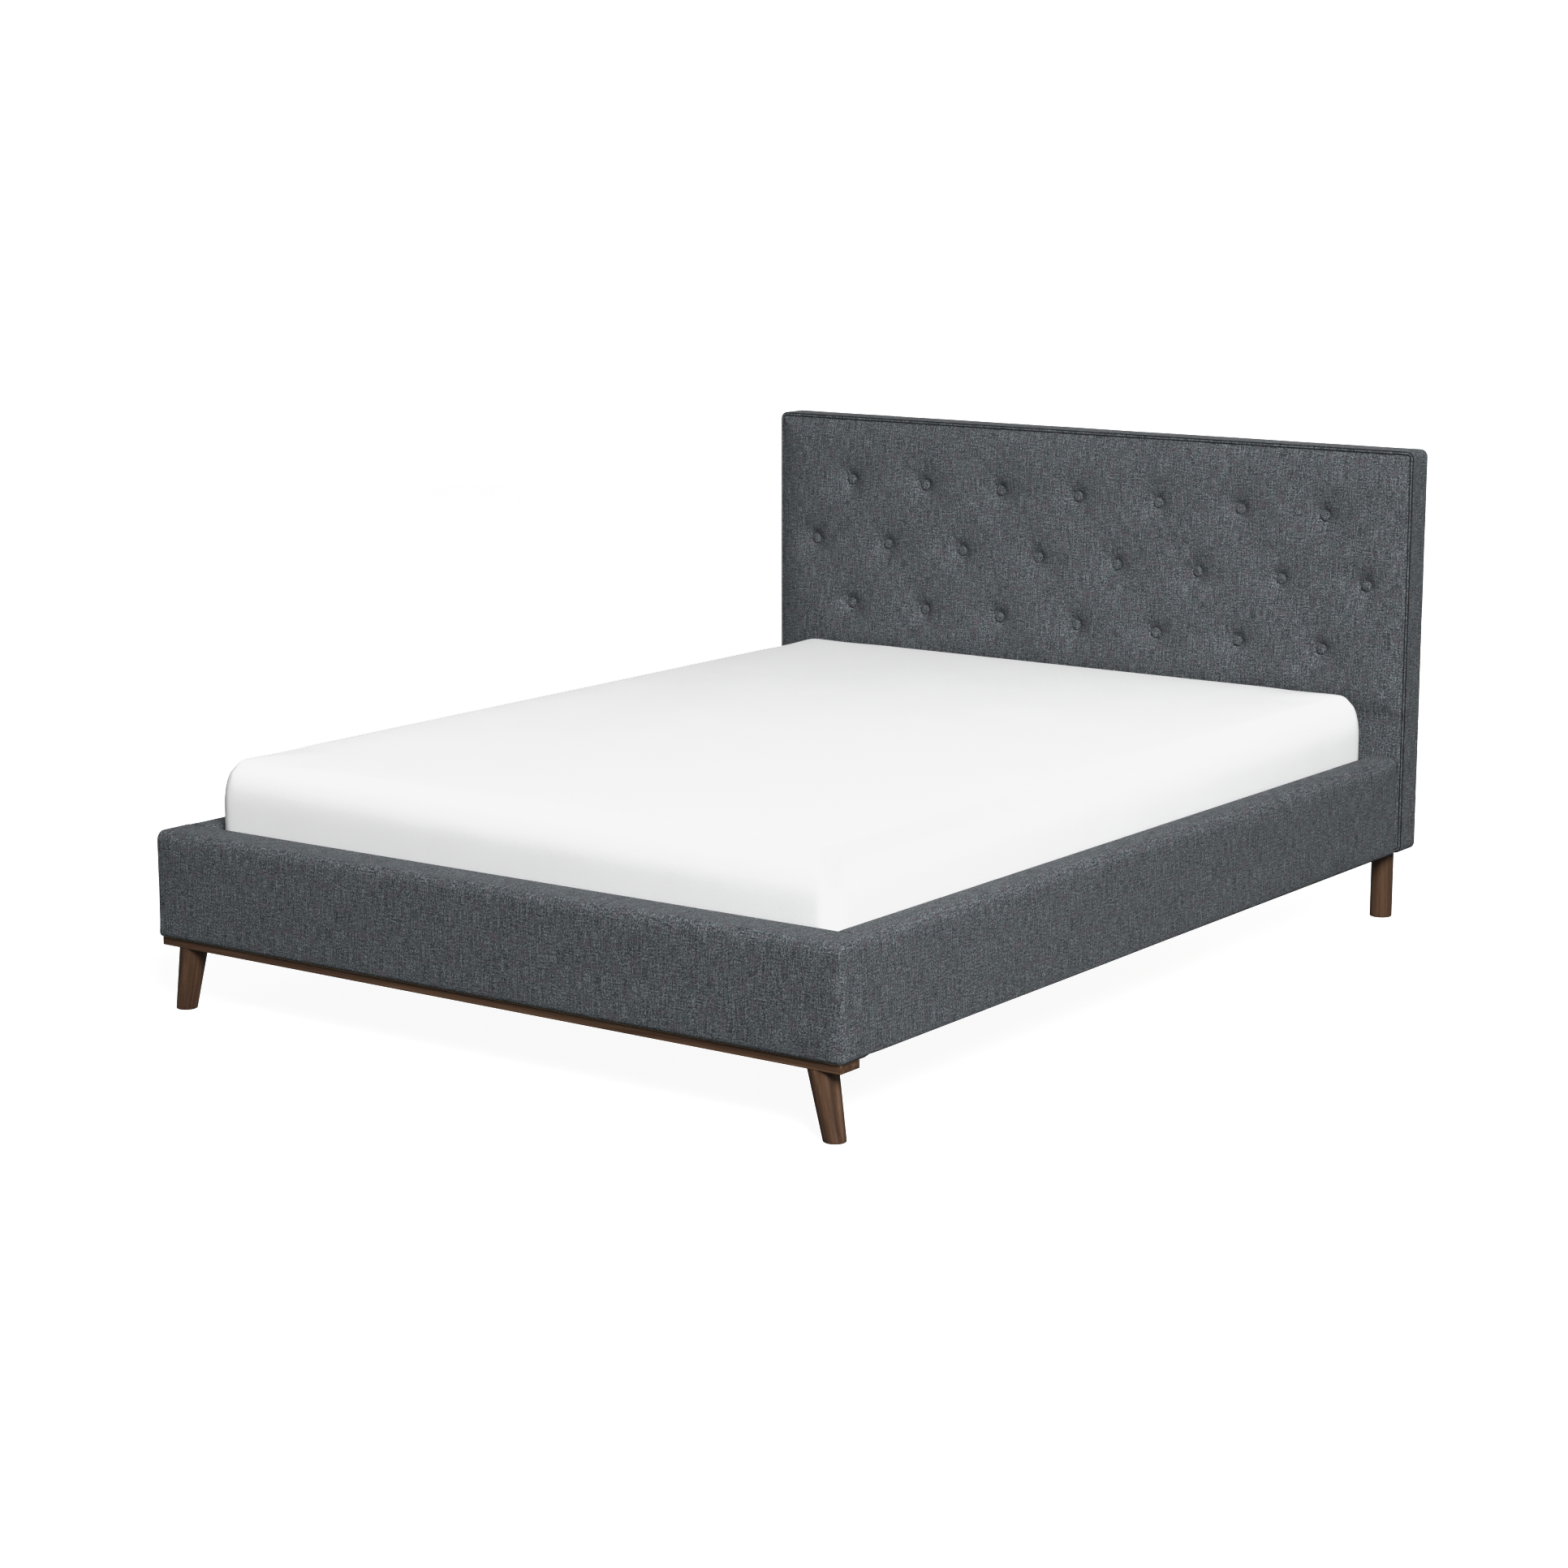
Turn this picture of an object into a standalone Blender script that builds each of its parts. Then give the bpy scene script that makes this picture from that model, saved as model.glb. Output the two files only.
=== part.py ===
"""Upholstered platform bed with a button-tufted headboard, modelled piece by piece.

Metres, +Z up. The origin is on the floor, under the middle of the bed. +Y runs from the foot of
the bed to its head, and +X is to the right of someone who stands at the foot and faces the head.
Everything belongs to the bed frame except the mattress, which lifts straight up and off.
"""

import math

import bmesh
import bpy
from mathutils import Vector

# ---- Driving dimensions ----
BED_LENGTH = 2.3114
GAP = 0.0003

HEADBOARD_WIDTH = 1.758
HEADBOARD_BOTTOM = 0.1594
HEADBOARD_TOP = 1.085
HEADBOARD_THICKNESS = 0.0774
HEADBOARD_CORNER = 0.017
HEADBOARD_WALL = 0.003
FOAM_THICKNESS = 0.0194
PANEL_THICKNESS = 0.012
BACK_CLOTH_THICKNESS = 0.0012
POST_WIDTH = 0.090

PIPING_RADIUS = 0.0026
PIPING_REBATE = 0.011

BUTTON_RADIUS = 0.011
BUTTON_HEIGHT = 0.007
BUTTON_PITCH_X = 0.220
BUTTON_PITCH_Z = 0.1555
BUTTON_MIDDLE_Z = 0.771
BUTTON_ROWS = (7, 8, 7)
DIMPLE_DEPTH = 0.009
DIMPLE_MOUTH_RADIUS = 0.040
DIMPLE_FLOOR_RADIUS = 0.013

FOOTBOARD_WIDTH = 1.7386
FOOTBOARD_THICKNESS = 0.096
RAIL_OUTER_X = 0.8645
RAIL_INNER_X = 0.7847
RAIL_BOTTOM = 0.1538
RAIL_TOP = 0.383
EDGE_RADIUS = 0.020
LOWER_EDGE_RADIUS = 0.008
PADDING = 0.009
UNDER_WRAP = 0.005
CORE_BOARD = 0.018

PLINTH_INSET = 0.009
PLINTH_BOTTOM = 0.1372
PLINTH_ARRIS = 0.0015

FRONT_LEG_FOOT = (0.8267, -1.1167)
FRONT_LEG_TOP_X = 0.7995
FRONT_LEG_TOP_RADIUS = 0.030
FRONT_LEG_FOOT_RADIUS = 0.0223
REAR_LEG_FOOT = (0.8187, 1.1113)
REAR_LEG_RADIUS = 0.0255
LEG_CHAMFER = 0.002

LEDGER_WIDTH = 0.040
LEDGER_HEIGHT = 0.040
SLAT_COUNT = 10
SLAT_WIDTH = 0.100
SLAT_THICKNESS = 0.018
SLAT_END_CLEARANCE = 0.0025
BEAM_WIDTH = 0.060
BEAM_HEIGHT = 0.060
CENTRE_LEG_SIDE = 0.045
CENTRE_LEG_Y = 0.36
BRACKET_ARM = 0.055
BRACKET_HEIGHT = 0.045
BRACKET_PLATE = 0.003
BRACKET_BOTTOM = 0.162

MATTRESS_BOTTOM = 0.273
MATTRESS_TOP = 0.522
MATTRESS_CLEARANCE = 0.0012
MATTRESS_EDGE_RADIUS = 0.055

# ---- Worked out from the driving dimensions ----
BACK_Y = BED_LENGTH / 2
FOOT_Y = -BED_LENGTH / 2
HEADBOARD_FACE_Y = BACK_Y - HEADBOARD_THICKNESS
FOOTBOARD_INNER_Y = FOOT_Y + FOOTBOARD_THICKNESS
SLAT_TOP = MATTRESS_BOTTOM - GAP
SLAT_BOTTOM = SLAT_TOP - SLAT_THICKNESS
LEDGER_TOP = SLAT_BOTTOM - GAP
BEAM_BOTTOM = LEDGER_TOP - BEAM_HEIGHT
SIDES = (("left", -1), ("right", 1))

MATERIALS = {
    # name: (base colour, roughness, metallic)
    "upholstery_fabric": ((0.080, 0.092, 0.102, 1), 0.92, 0.0),
    "walnut": ((0.095, 0.045, 0.026, 1), 0.42, 0.0),
    "plywood": ((0.560, 0.400, 0.240, 1), 0.65, 0.0),
    "pine": ((0.640, 0.460, 0.270, 1), 0.60, 0.0),
    "foam": ((0.780, 0.740, 0.580, 1), 0.95, 0.0),
    "back_cloth": ((0.020, 0.020, 0.022, 1), 0.95, 0.0),
    "steel": ((0.420, 0.420, 0.430, 1), 0.38, 1.0),
    "mattress_cover": ((0.880, 0.880, 0.880, 1), 0.85, 0.0),
}


def clear_scene():
    for old in list(bpy.data.objects):
        bpy.data.objects.remove(old, do_unlink=True)


def make_materials():
    made = {}
    for name, (colour, roughness, metallic) in MATERIALS.items():
        material = bpy.data.materials.new(name)
        material.use_nodes = True
        shader = material.node_tree.nodes["Principled BSDF"]
        shader.inputs["Base Color"].default_value = colour
        shader.inputs["Roughness"].default_value = roughness
        shader.inputs["Metallic"].default_value = metallic
        made[name] = material
    return made


# ---- Modelling helpers ----


def place(name, mesh, origin, material, parent):
    """A named object for a mesh whose points are relative to origin."""
    obj = bpy.data.objects.new(name, mesh)
    obj.location = origin
    obj.parent = parent
    if material:
        mesh.materials.append(material)
    bpy.context.scene.collection.objects.link(obj)
    return obj


def finish_mesh(name, bm):
    bmesh.ops.recalc_face_normals(bm, faces=bm.faces)
    mesh = bpy.data.meshes.new(name)
    bm.to_mesh(mesh)
    bm.free()
    return mesh


def loft_mesh(name, rings):
    """A closed solid through rings of points, which all have the same number of points."""
    bm = bmesh.new()
    made = [[bm.verts.new(point) for point in ring] for ring in rings]
    for lower, upper in zip(made, made[1:]):
        for i in range(len(lower)):
            j = (i + 1) % len(lower)
            bm.faces.new((lower[i], lower[j], upper[j], upper[i]))
    bm.faces.new(made[0])
    bm.faces.new(made[-1])
    return finish_mesh(name, bm)


def every_edge(edge):
    return True


def along_y(edge):
    return abs(edge.verts[0].co.y - edge.verts[1].co.y) > 1e-6


def at_bottom(edge):
    """Whether an edge lies in the box's bottom face. Its points are relative to the box's middle."""
    a, b = edge.verts[0].co, edge.verts[1].co
    return abs(a.z - b.z) < 1e-6 and a.z < 0 and any(face.normal.z < -0.99 for face in edge.link_faces)


def above_bottom(edge):
    return not at_bottom(edge)


def long_top(edge):
    return along_y(edge) and edge.verts[0].co.z > 0


def long_bottom(edge):
    return along_y(edge) and edge.verts[0].co.z < 0


def box_mesh(name, low, high, origin, rounding=()):
    """A box between two corners. Each rounding is (radius, steps, which edges)."""
    low, high, origin = Vector(low), Vector(high), Vector(origin)
    bm = bmesh.new()
    bmesh.ops.create_cube(bm, size=1.0)
    for vert in bm.verts:
        vert.co = Vector([low[k] if vert.co[k] < 0 else high[k] for k in range(3)]) - origin
    for radius, steps, which in rounding:
        bm.normal_update()
        edges = [edge for edge in bm.edges if which(edge)]
        bmesh.ops.bevel(bm, geom=edges, offset=radius, segments=steps, profile=0.5, affect="EDGES")
    return finish_mesh(name, bm)


def add_box(name, low, high, material, parent, rounding=()):
    origin = (Vector(low) + Vector(high)) / 2
    return place(name, box_mesh(name, low, high, origin, rounding), origin, material, parent)


def cut(target, cutter):
    """Takes the cutter's shape out of the target and keeps the cutter as a hidden helper."""
    cutter.hide_render = True
    cutter.display_type = "WIRE"
    modifier = target.modifiers.new("cut_" + cutter.name, "BOOLEAN")
    modifier.operation = "DIFFERENCE"
    modifier.solver = "EXACT"
    modifier.object = cutter


def circle(centre, radius, height, steps):
    angles = [2 * math.pi * k / steps for k in range(steps)]
    return [(centre[0] + radius * math.cos(a), centre[1] + radius * math.sin(a), height) for a in angles]


def rounded_rectangle(half_width, low, high, radius, steps=4):
    """Points (x, z) around a rectangle with round corners, counter-clockwise."""
    corners = (
        (half_width - radius, low + radius, -90),
        (half_width - radius, high - radius, 0),
        (-half_width + radius, high - radius, 90),
        (-half_width + radius, low + radius, 180),
    )
    points = []
    for x, z, start in corners:
        for k in range(steps + 1):
            angle = math.radians(start + 90 * k / steps)
            points.append((x + radius * math.cos(angle), z + radius * math.sin(angle)))
    return points


# ---- Headboard ----


def headboard_outline(inset, y):
    """The headboard's outline, drawn in by inset, as a ring at depth y."""
    corner = max(HEADBOARD_CORNER - inset, 0.001)
    half_width = HEADBOARD_WIDTH / 2 - inset
    outline = rounded_rectangle(half_width, HEADBOARD_BOTTOM + inset, HEADBOARD_TOP - inset, corner)
    return [(x, y, z) for x, z in outline]


def button_places():
    """(x, z) of every button: staggered rows, top row first."""
    places = []
    for row, count in enumerate(BUTTON_ROWS):
        z = BUTTON_MIDDLE_Z + (1 - row) * BUTTON_PITCH_Z
        for k in range(count):
            places.append(((k - (count - 1) / 2) * BUTTON_PITCH_X, z))
    return places


def dimple_cutter(name, face_y, floor_y, growth, parent):
    """One cone for each button, from past the face down to the dimple's floor."""
    steps, past_face = 10, 0.004
    slope = (DIMPLE_MOUTH_RADIUS - DIMPLE_FLOOR_RADIUS) / DIMPLE_DEPTH
    mouth = DIMPLE_FLOOR_RADIUS + growth + slope * (floor_y - face_y + past_face)
    bm = bmesh.new()
    for x, z in button_places():
        rings = []
        for y, radius in ((face_y - past_face, mouth), (floor_y, DIMPLE_FLOOR_RADIUS + growth)):
            turns = [2 * math.pi * k / steps for k in range(steps)]
            ring = [(x + radius * math.cos(a), y, z + radius * math.sin(a)) for a in turns]
            rings.append([bm.verts.new(point) for point in ring])
        for i in range(steps):
            j = (i + 1) % steps
            bm.faces.new((rings[0][i], rings[0][j], rings[1][j], rings[1][i]))
        bm.faces.new(rings[0])
        bm.faces.new(rings[1])
    return place(name, finish_mesh(name, bm), (0, 0, 0), None, parent)


def headboard(materials, frame):
    fabric = materials["upholstery_fabric"]
    origin = Vector((0, HEADBOARD_FACE_Y, HEADBOARD_BOTTOM))
    cover_back_y = BACK_Y - BACK_CLOTH_THICKNESS - GAP
    foam_face_y = HEADBOARD_FACE_Y + HEADBOARD_WALL
    foam_back_y = foam_face_y + GAP + FOAM_THICKNESS
    panel_back_y = foam_back_y + GAP + PANEL_THICKNESS
    floor_y = HEADBOARD_FACE_Y + DIMPLE_DEPTH

    def ring(inset, y):
        return [Vector(point) - origin for point in headboard_outline(inset, y)]

    outer = [
        ring(PIPING_REBATE, HEADBOARD_FACE_Y),
        ring(0, HEADBOARD_FACE_Y + PIPING_REBATE),
        ring(0, cover_back_y),
    ]
    cover = place("headboard_cover", loft_mesh("headboard_cover", outer), origin, fabric, frame)

    # The inside of the cover follows its outside: rebate, walls and dimples, one wall further in.
    rebate_inside = PIPING_REBATE + HEADBOARD_WALL
    hollow_rings = [
        ring(rebate_inside, foam_face_y),
        ring(HEADBOARD_WALL, HEADBOARD_FACE_Y + rebate_inside),
        ring(HEADBOARD_WALL, BACK_Y),
    ]
    hollow = place("headboard_hollow", loft_mesh("headboard_hollow", hollow_rings), origin, None, frame)
    wall_floor_y = floor_y + HEADBOARD_WALL
    cut(hollow, dimple_cutter("hollow_dimples", foam_face_y, wall_floor_y, 0.0, frame))
    cut(cover, hollow)
    cut(cover, dimple_cutter("cover_dimples", HEADBOARD_FACE_Y, floor_y, 0.0, frame))

    foam_rings = [
        ring(rebate_inside + 2 * GAP, foam_face_y + GAP),
        ring(HEADBOARD_WALL + 2 * GAP, HEADBOARD_FACE_Y + rebate_inside + GAP),
        ring(HEADBOARD_WALL + 2 * GAP, foam_back_y),
    ]
    foam = place("headboard_foam", loft_mesh("headboard_foam", foam_rings), origin, materials["foam"], frame)
    cut(foam, dimple_cutter("foam_dimples", foam_face_y + GAP, wall_floor_y + GAP, GAP, frame))

    inside_x = HEADBOARD_WIDTH / 2 - HEADBOARD_WALL - 2 * GAP
    inside_low = HEADBOARD_BOTTOM + HEADBOARD_WALL + 2 * GAP
    inside_high = HEADBOARD_TOP - HEADBOARD_WALL - 2 * GAP
    add_box(
        "headboard_panel",
        (-inside_x, foam_back_y + GAP, inside_low),
        (inside_x, panel_back_y, inside_high),
        materials["plywood"],
        frame,
        rounding=((HEADBOARD_CORNER - HEADBOARD_WALL, 2, along_y),),
    )
    for side, sign in SIDES:
        edge_inset = HEADBOARD_CORNER - HEADBOARD_WALL
        across = sorted((sign * (inside_x - edge_inset), sign * (inside_x - edge_inset - POST_WIDTH)))
        add_box(
            f"headboard_post_{side}",
            (across[0], panel_back_y + GAP, inside_low),
            (across[1], cover_back_y, inside_high),
            materials["pine"],
            frame,
        )
    cloth_inset = 0.002
    add_box(
        "headboard_back_cloth",
        (-HEADBOARD_WIDTH / 2 + cloth_inset, cover_back_y + GAP, HEADBOARD_BOTTOM + cloth_inset),
        (HEADBOARD_WIDTH / 2 - cloth_inset, BACK_Y, HEADBOARD_TOP - cloth_inset),
        materials["back_cloth"],
        frame,
        rounding=((HEADBOARD_CORNER, 2, along_y),),
    )


def headboard_piping(materials, frame):
    """The corded seam around the headboard's face: one closed loop of tube."""
    curve = bpy.data.curves.new("headboard_piping", "CURVE")
    curve.dimensions = "3D"
    curve.bevel_depth = PIPING_RADIUS
    curve.bevel_resolution = 1
    spline = curve.splines.new("POLY")
    y = HEADBOARD_FACE_Y + PIPING_RADIUS
    points = headboard_outline(PIPING_RADIUS, y)
    spline.points.add(len(points) - 1)
    for point, (x, _, z) in zip(spline.points, points):
        point.co = (x, 0.0, z - HEADBOARD_BOTTOM, 1.0)
    spline.use_cyclic_u = True
    place("headboard_piping", curve, (0, y, HEADBOARD_BOTTOM), materials["upholstery_fabric"], frame)


def headboard_buttons(materials, frame):
    """Covered buttons, each seated on the floor of its dimple."""
    steps = 10
    rings = []
    for forward, share in ((0.0, 1.0), (0.45, 1.0), (1.0, 0.5)):
        ring = circle((0, 0), BUTTON_RADIUS * share, 0.0, steps)
        rings.append([(x, -forward * BUTTON_HEIGHT, z) for x, z, _ in ring])
    mesh = loft_mesh("headboard_button", rings)
    mesh.materials.append(materials["upholstery_fabric"])
    seat_y = HEADBOARD_FACE_Y + DIMPLE_DEPTH - GAP
    for number, (x, z) in enumerate(button_places(), start=1):
        place(f"headboard_button_{number:02d}", mesh, (x, seat_y, z), None, frame)


# ---- Footboard and side rails ----


def footboard(materials, frame):
    half = FOOTBOARD_WIDTH / 2
    cover = add_box(
        "footboard_cover",
        (-half, FOOT_Y, RAIL_BOTTOM),
        (half, FOOTBOARD_INNER_Y, RAIL_TOP),
        materials["upholstery_fabric"],
        frame,
        rounding=((EDGE_RADIUS, 3, above_bottom), (LOWER_EDGE_RADIUS, 2, at_bottom)),
    )
    low = Vector((-half + PADDING, FOOT_Y + PADDING, RAIL_BOTTOM - PADDING))
    high = Vector((half - PADDING, FOOTBOARD_INNER_Y - PADDING, RAIL_TOP - PADDING))
    cut(cover, add_box("footboard_hollow", low, high, None, frame))

    gaps = Vector((GAP, GAP, GAP))
    core_low, core_high = low + gaps, high - gaps
    core_low.z = RAIL_BOTTOM
    core = add_box("footboard_core", core_low, core_high, materials["plywood"], frame)
    board = Vector((CORE_BOARD, CORE_BOARD, CORE_BOARD))
    inner_low, inner_high = core_low + board, core_high - board
    inner_low.z = RAIL_BOTTOM - CORE_BOARD
    cut(core, add_box("footboard_core_hollow", inner_low, inner_high, None, frame))

    add_box(
        "footboard_plinth",
        (-half + PLINTH_INSET, FOOT_Y + PLINTH_INSET, PLINTH_BOTTOM),
        (half - PLINTH_INSET, FOOTBOARD_INNER_Y - PLINTH_INSET, RAIL_BOTTOM - GAP),
        materials["walnut"],
        frame,
        rounding=((PLINTH_ARRIS, 1, every_edge),),
    )


def side_rail(side, sign, materials, frame):
    """A box-section timber rail, open at its two ends, in a padded cover wrapped right round it."""
    y_low, y_high = FOOTBOARD_INNER_Y + GAP, HEADBOARD_FACE_Y - GAP

    def section(inset, bottom_inset, past_ends):
        """The corners of the rail's box, drawn in at its sides and top, and at its bottom."""
        x0, x1 = sorted((sign * (RAIL_INNER_X + inset), sign * (RAIL_OUTER_X - inset)))
        low = (x0, y_low - past_ends, RAIL_BOTTOM + bottom_inset)
        return low, (x1, y_high + past_ends, RAIL_TOP - inset)

    past_ends = PADDING
    low, high = section(0.0, 0.0, 0.0)
    name = f"side_rail_cover_{side}"
    fabric = materials["upholstery_fabric"]
    rounding = ((EDGE_RADIUS, 3, long_top), (LOWER_EDGE_RADIUS, 2, long_bottom))
    cover = add_box(name, low, high, fabric, frame, rounding)
    low, high = section(PADDING, UNDER_WRAP, past_ends)
    cut(cover, add_box(f"side_rail_hollow_{side}", low, high, None, frame))

    low, high = section(PADDING + GAP, UNDER_WRAP + GAP, 0.0)
    core = add_box(f"side_rail_core_{side}", low, high, materials["plywood"], frame)
    low, high = section(PADDING + GAP + CORE_BOARD, UNDER_WRAP + GAP + CORE_BOARD, past_ends)
    cut(core, add_box(f"side_rail_core_hollow_{side}", low, high, None, frame))


# ---- Legs ----


def leg(name, foot, top, radii, material, frame, steps=24):
    """A round leg whose feet stand flat: foot and top are (x, y), and top has a height too."""
    foot_x, foot_y = foot
    top_x, top_y, height = top
    rings = []
    for z, inset in ((0.0, LEG_CHAMFER), (LEG_CHAMFER, 0.0), (height, 0.0)):
        share = z / height
        centre = (share * (top_x - foot_x), share * (top_y - foot_y))
        radius = radii[0] + share * (radii[1] - radii[0]) - inset
        rings.append(circle(centre, radius, z, steps))
    mesh = loft_mesh(name, rings)
    for face in mesh.polygons:
        face.use_smooth = abs(face.normal.z) < 0.5
    place(name, mesh, (foot_x, foot_y, 0), material, frame)


def legs(materials, frame):
    walnut = materials["walnut"]
    for side, sign in SIDES:
        foot_x, foot_y = FRONT_LEG_FOOT
        foot = (sign * foot_x, foot_y)
        top = (sign * FRONT_LEG_TOP_X, foot_y, PLINTH_BOTTOM - GAP)
        radii = (FRONT_LEG_FOOT_RADIUS, FRONT_LEG_TOP_RADIUS)
        leg(f"front_leg_{side}", foot, top, radii, walnut, frame)
        rear_x, rear_y = REAR_LEG_FOOT
        foot = (sign * rear_x, rear_y)
        top = (sign * rear_x, rear_y, HEADBOARD_BOTTOM - GAP)
        leg(f"rear_leg_{side}", foot, top, (REAR_LEG_RADIUS, REAR_LEG_RADIUS), walnut, frame)


# ---- Mattress support ----


def ledgers_and_brackets(materials, frame):
    y_low, y_high = FOOTBOARD_INNER_Y + 2 * GAP, HEADBOARD_FACE_Y - 2 * GAP
    for side, sign in SIDES:
        x0, x1 = sorted((sign * (RAIL_INNER_X - GAP), sign * (RAIL_INNER_X - GAP - LEDGER_WIDTH)))
        low, high = (x0, y_low, LEDGER_TOP - LEDGER_HEIGHT), (x1, y_high, LEDGER_TOP)
        add_box(f"slat_ledger_{side}", low, high, materials["pine"], frame)
        for end, corner_y, inward in (("foot", y_low, 1), ("head", y_high, -1)):
            corner = (sign * (RAIL_INNER_X - GAP), corner_y)
            corner_bracket(f"corner_bracket_{end}_{side}", corner, -sign, inward, materials["steel"], frame)


def corner_bracket(name, corner, x_way, y_way, material, frame):
    """An angle plate in the corner between a rail and an end board, arms along x_way and y_way."""
    arm, plate = BRACKET_ARM, BRACKET_PLATE
    outline = ((0, 0), (arm, 0), (arm, plate), (plate, plate), (plate, arm), (0, arm))
    rings = []
    for z in (0.0, BRACKET_HEIGHT):
        rings.append([(x_way * x, y_way * y, z) for x, y in outline])
    origin = (corner[0], corner[1], BRACKET_BOTTOM)
    place(name, loft_mesh(name, rings), origin, material, frame)


def centre_support(materials, frame):
    half = BEAM_WIDTH / 2
    low = (-half, FOOTBOARD_INNER_Y + 2 * GAP, BEAM_BOTTOM)
    high = (half, HEADBOARD_FACE_Y - 2 * GAP, LEDGER_TOP)
    add_box("centre_beam", low, high, materials["pine"], frame)
    half = CENTRE_LEG_SIDE / 2
    for end, y in (("foot", -CENTRE_LEG_Y), ("head", CENTRE_LEG_Y)):
        low, high = (-half, y - half, 0.0), (half, y + half, BEAM_BOTTOM - GAP)
        add_box(f"centre_leg_{end}", low, high, materials["pine"], frame)


def slats(materials, frame):
    half_length = RAIL_INNER_X - SLAT_END_CLEARANCE
    free = (HEADBOARD_FACE_Y - FOOTBOARD_INNER_Y) - SLAT_COUNT * SLAT_WIDTH
    space = free / (SLAT_COUNT + 1)
    for k in range(SLAT_COUNT):
        y = FOOTBOARD_INNER_Y + space + k * (SLAT_WIDTH + space)
        low, high = (-half_length, y, SLAT_BOTTOM), (half_length, y + SLAT_WIDTH, SLAT_TOP)
        add_box(f"slat_{k + 1:02d}", low, high, materials["pine"], frame)


def mattress(materials, lift):
    half = RAIL_INNER_X - MATTRESS_CLEARANCE
    low = (-half, FOOTBOARD_INNER_Y + MATTRESS_CLEARANCE, MATTRESS_BOTTOM)
    high = (half, HEADBOARD_FACE_Y - MATTRESS_CLEARANCE, MATTRESS_TOP)
    rounding = ((MATTRESS_EDGE_RADIUS, 4, every_edge),)
    mesh = box_mesh("mattress", low, high, lift.location, rounding)
    for face in mesh.polygons:
        face.use_smooth = True
    place("mattress", mesh, (0, 0, 0), materials["mattress_cover"], lift)


def main():
    clear_scene()
    materials = make_materials()
    frame = bpy.data.objects.new("bed_frame", None)
    bpy.context.scene.collection.objects.link(frame)
    lift = bpy.data.objects.new("mattress_lift_axis", None)
    lift.location = (0, (FOOTBOARD_INNER_Y + HEADBOARD_FACE_Y) / 2, MATTRESS_BOTTOM)
    bpy.context.scene.collection.objects.link(lift)

    headboard(materials, frame)
    headboard_piping(materials, frame)
    headboard_buttons(materials, frame)
    footboard(materials, frame)
    for side, sign in SIDES:
        side_rail(side, sign, materials, frame)
    legs(materials, frame)
    ledgers_and_brackets(materials, frame)
    centre_support(materials, frame)
    slats(materials, frame)
    mattress(materials, lift)


main()
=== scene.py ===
"""Looks of the upholstered platform bed: tufted headboard, wrapped rails, mattress, wood and light.

Metres, +Z up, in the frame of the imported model: the origin is on the floor under the middle of
the bed, and +Y runs from its foot to its head. The pieces take their places from the frame's nodes.
The headboard's face, the footboard, the rails and the mattress are grids shaped in code, which a
short cloth simulation then swells.
"""

import math
import random

import bpy
import numpy as np
from mathutils import Euler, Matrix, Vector, noise


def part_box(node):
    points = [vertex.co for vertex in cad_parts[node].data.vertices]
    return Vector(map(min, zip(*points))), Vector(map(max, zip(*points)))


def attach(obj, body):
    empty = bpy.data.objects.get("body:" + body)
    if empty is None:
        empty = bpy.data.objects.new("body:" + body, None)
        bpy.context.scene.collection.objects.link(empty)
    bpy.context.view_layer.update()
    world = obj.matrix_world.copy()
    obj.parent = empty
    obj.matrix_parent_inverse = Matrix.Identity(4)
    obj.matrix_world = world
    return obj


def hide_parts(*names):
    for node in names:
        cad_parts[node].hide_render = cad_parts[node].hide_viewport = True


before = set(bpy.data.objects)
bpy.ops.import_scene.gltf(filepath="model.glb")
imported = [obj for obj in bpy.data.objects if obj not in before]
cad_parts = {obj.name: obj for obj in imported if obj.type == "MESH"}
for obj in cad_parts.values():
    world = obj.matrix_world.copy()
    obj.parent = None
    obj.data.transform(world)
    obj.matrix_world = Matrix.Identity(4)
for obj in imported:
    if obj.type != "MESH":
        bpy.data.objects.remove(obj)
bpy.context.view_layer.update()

SIDES = ("left", "right")
WEAVE = "weave"
GRAIN = "grain"
MM = 0.001
BUTTON_COUNT = 22
SLAT_COUNT = 10

# ---- Headboard: insets and depths of its edge, pitches of its grid, where its padding starts ----
CORNER = 17 * MM
SEAM_INSET = 9.4 * MM
SEAM_DEPTH = 2.6 * MM
ROLL_WIDTH = 8.0 * MM
WELT_RADIUS = 2.2 * MM
WELT_INSET = 5.3 * MM
WELT_DEPTH = 2.9 * MM
# Radius of the near-black thread rows that paint shade into the seam groove.
SEAM_SHADOW_RADIUS = 0.85 * MM
BACK_ROUND = 5 * MM
BACK_BORDER = 34 * MM
BORDER_LIFT = 0.2 * MM
HEADBOARD_PITCH = 4.0 * MM
HIDDEN_PITCH = 14 * MM
TUFTED_ABOVE = 0.478

# ---- Dust cloth and staples ----
CLOTH_LIFT = 0.5 * MM
HEM = 15 * MM
CLOTH_UNDER_BORDER = 8 * MM
STAPLE_CROWN = 11 * MM
STAPLE_WIRE = 0.9 * MM
STAPLE_SPACING = 62 * MM

# ---- Tufting ----
FACE_CROWN = 11.2 * MM
CROWN_REACH = 80 * MM
TUFT_DEPTH = 22.4 * MM
TUFT_DEEPEST = 11.4 * MM
TUFT_SEAT_RADIUS = 12 * MM
BUTTON_OVERHANG = 1.5 * MM
TUFT_REACH = 19 * MM
PLEAT_DEPTH = 2.4 * MM
PLEAT_WIDTH = 2.6 * MM
PLEAT_FLARE = 0.10
PLEAT_START = 6 * MM
PLEAT_REACH = 20 * MM
PLEAT_STRAY = 13
SHOULDER_HEIGHT = 0.45
SHOULDER_WIDTH = 2.2
NEIGHBOUR_ANGLES = (0, 180, 54.7, 125.3, -54.7, -125.3)

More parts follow.
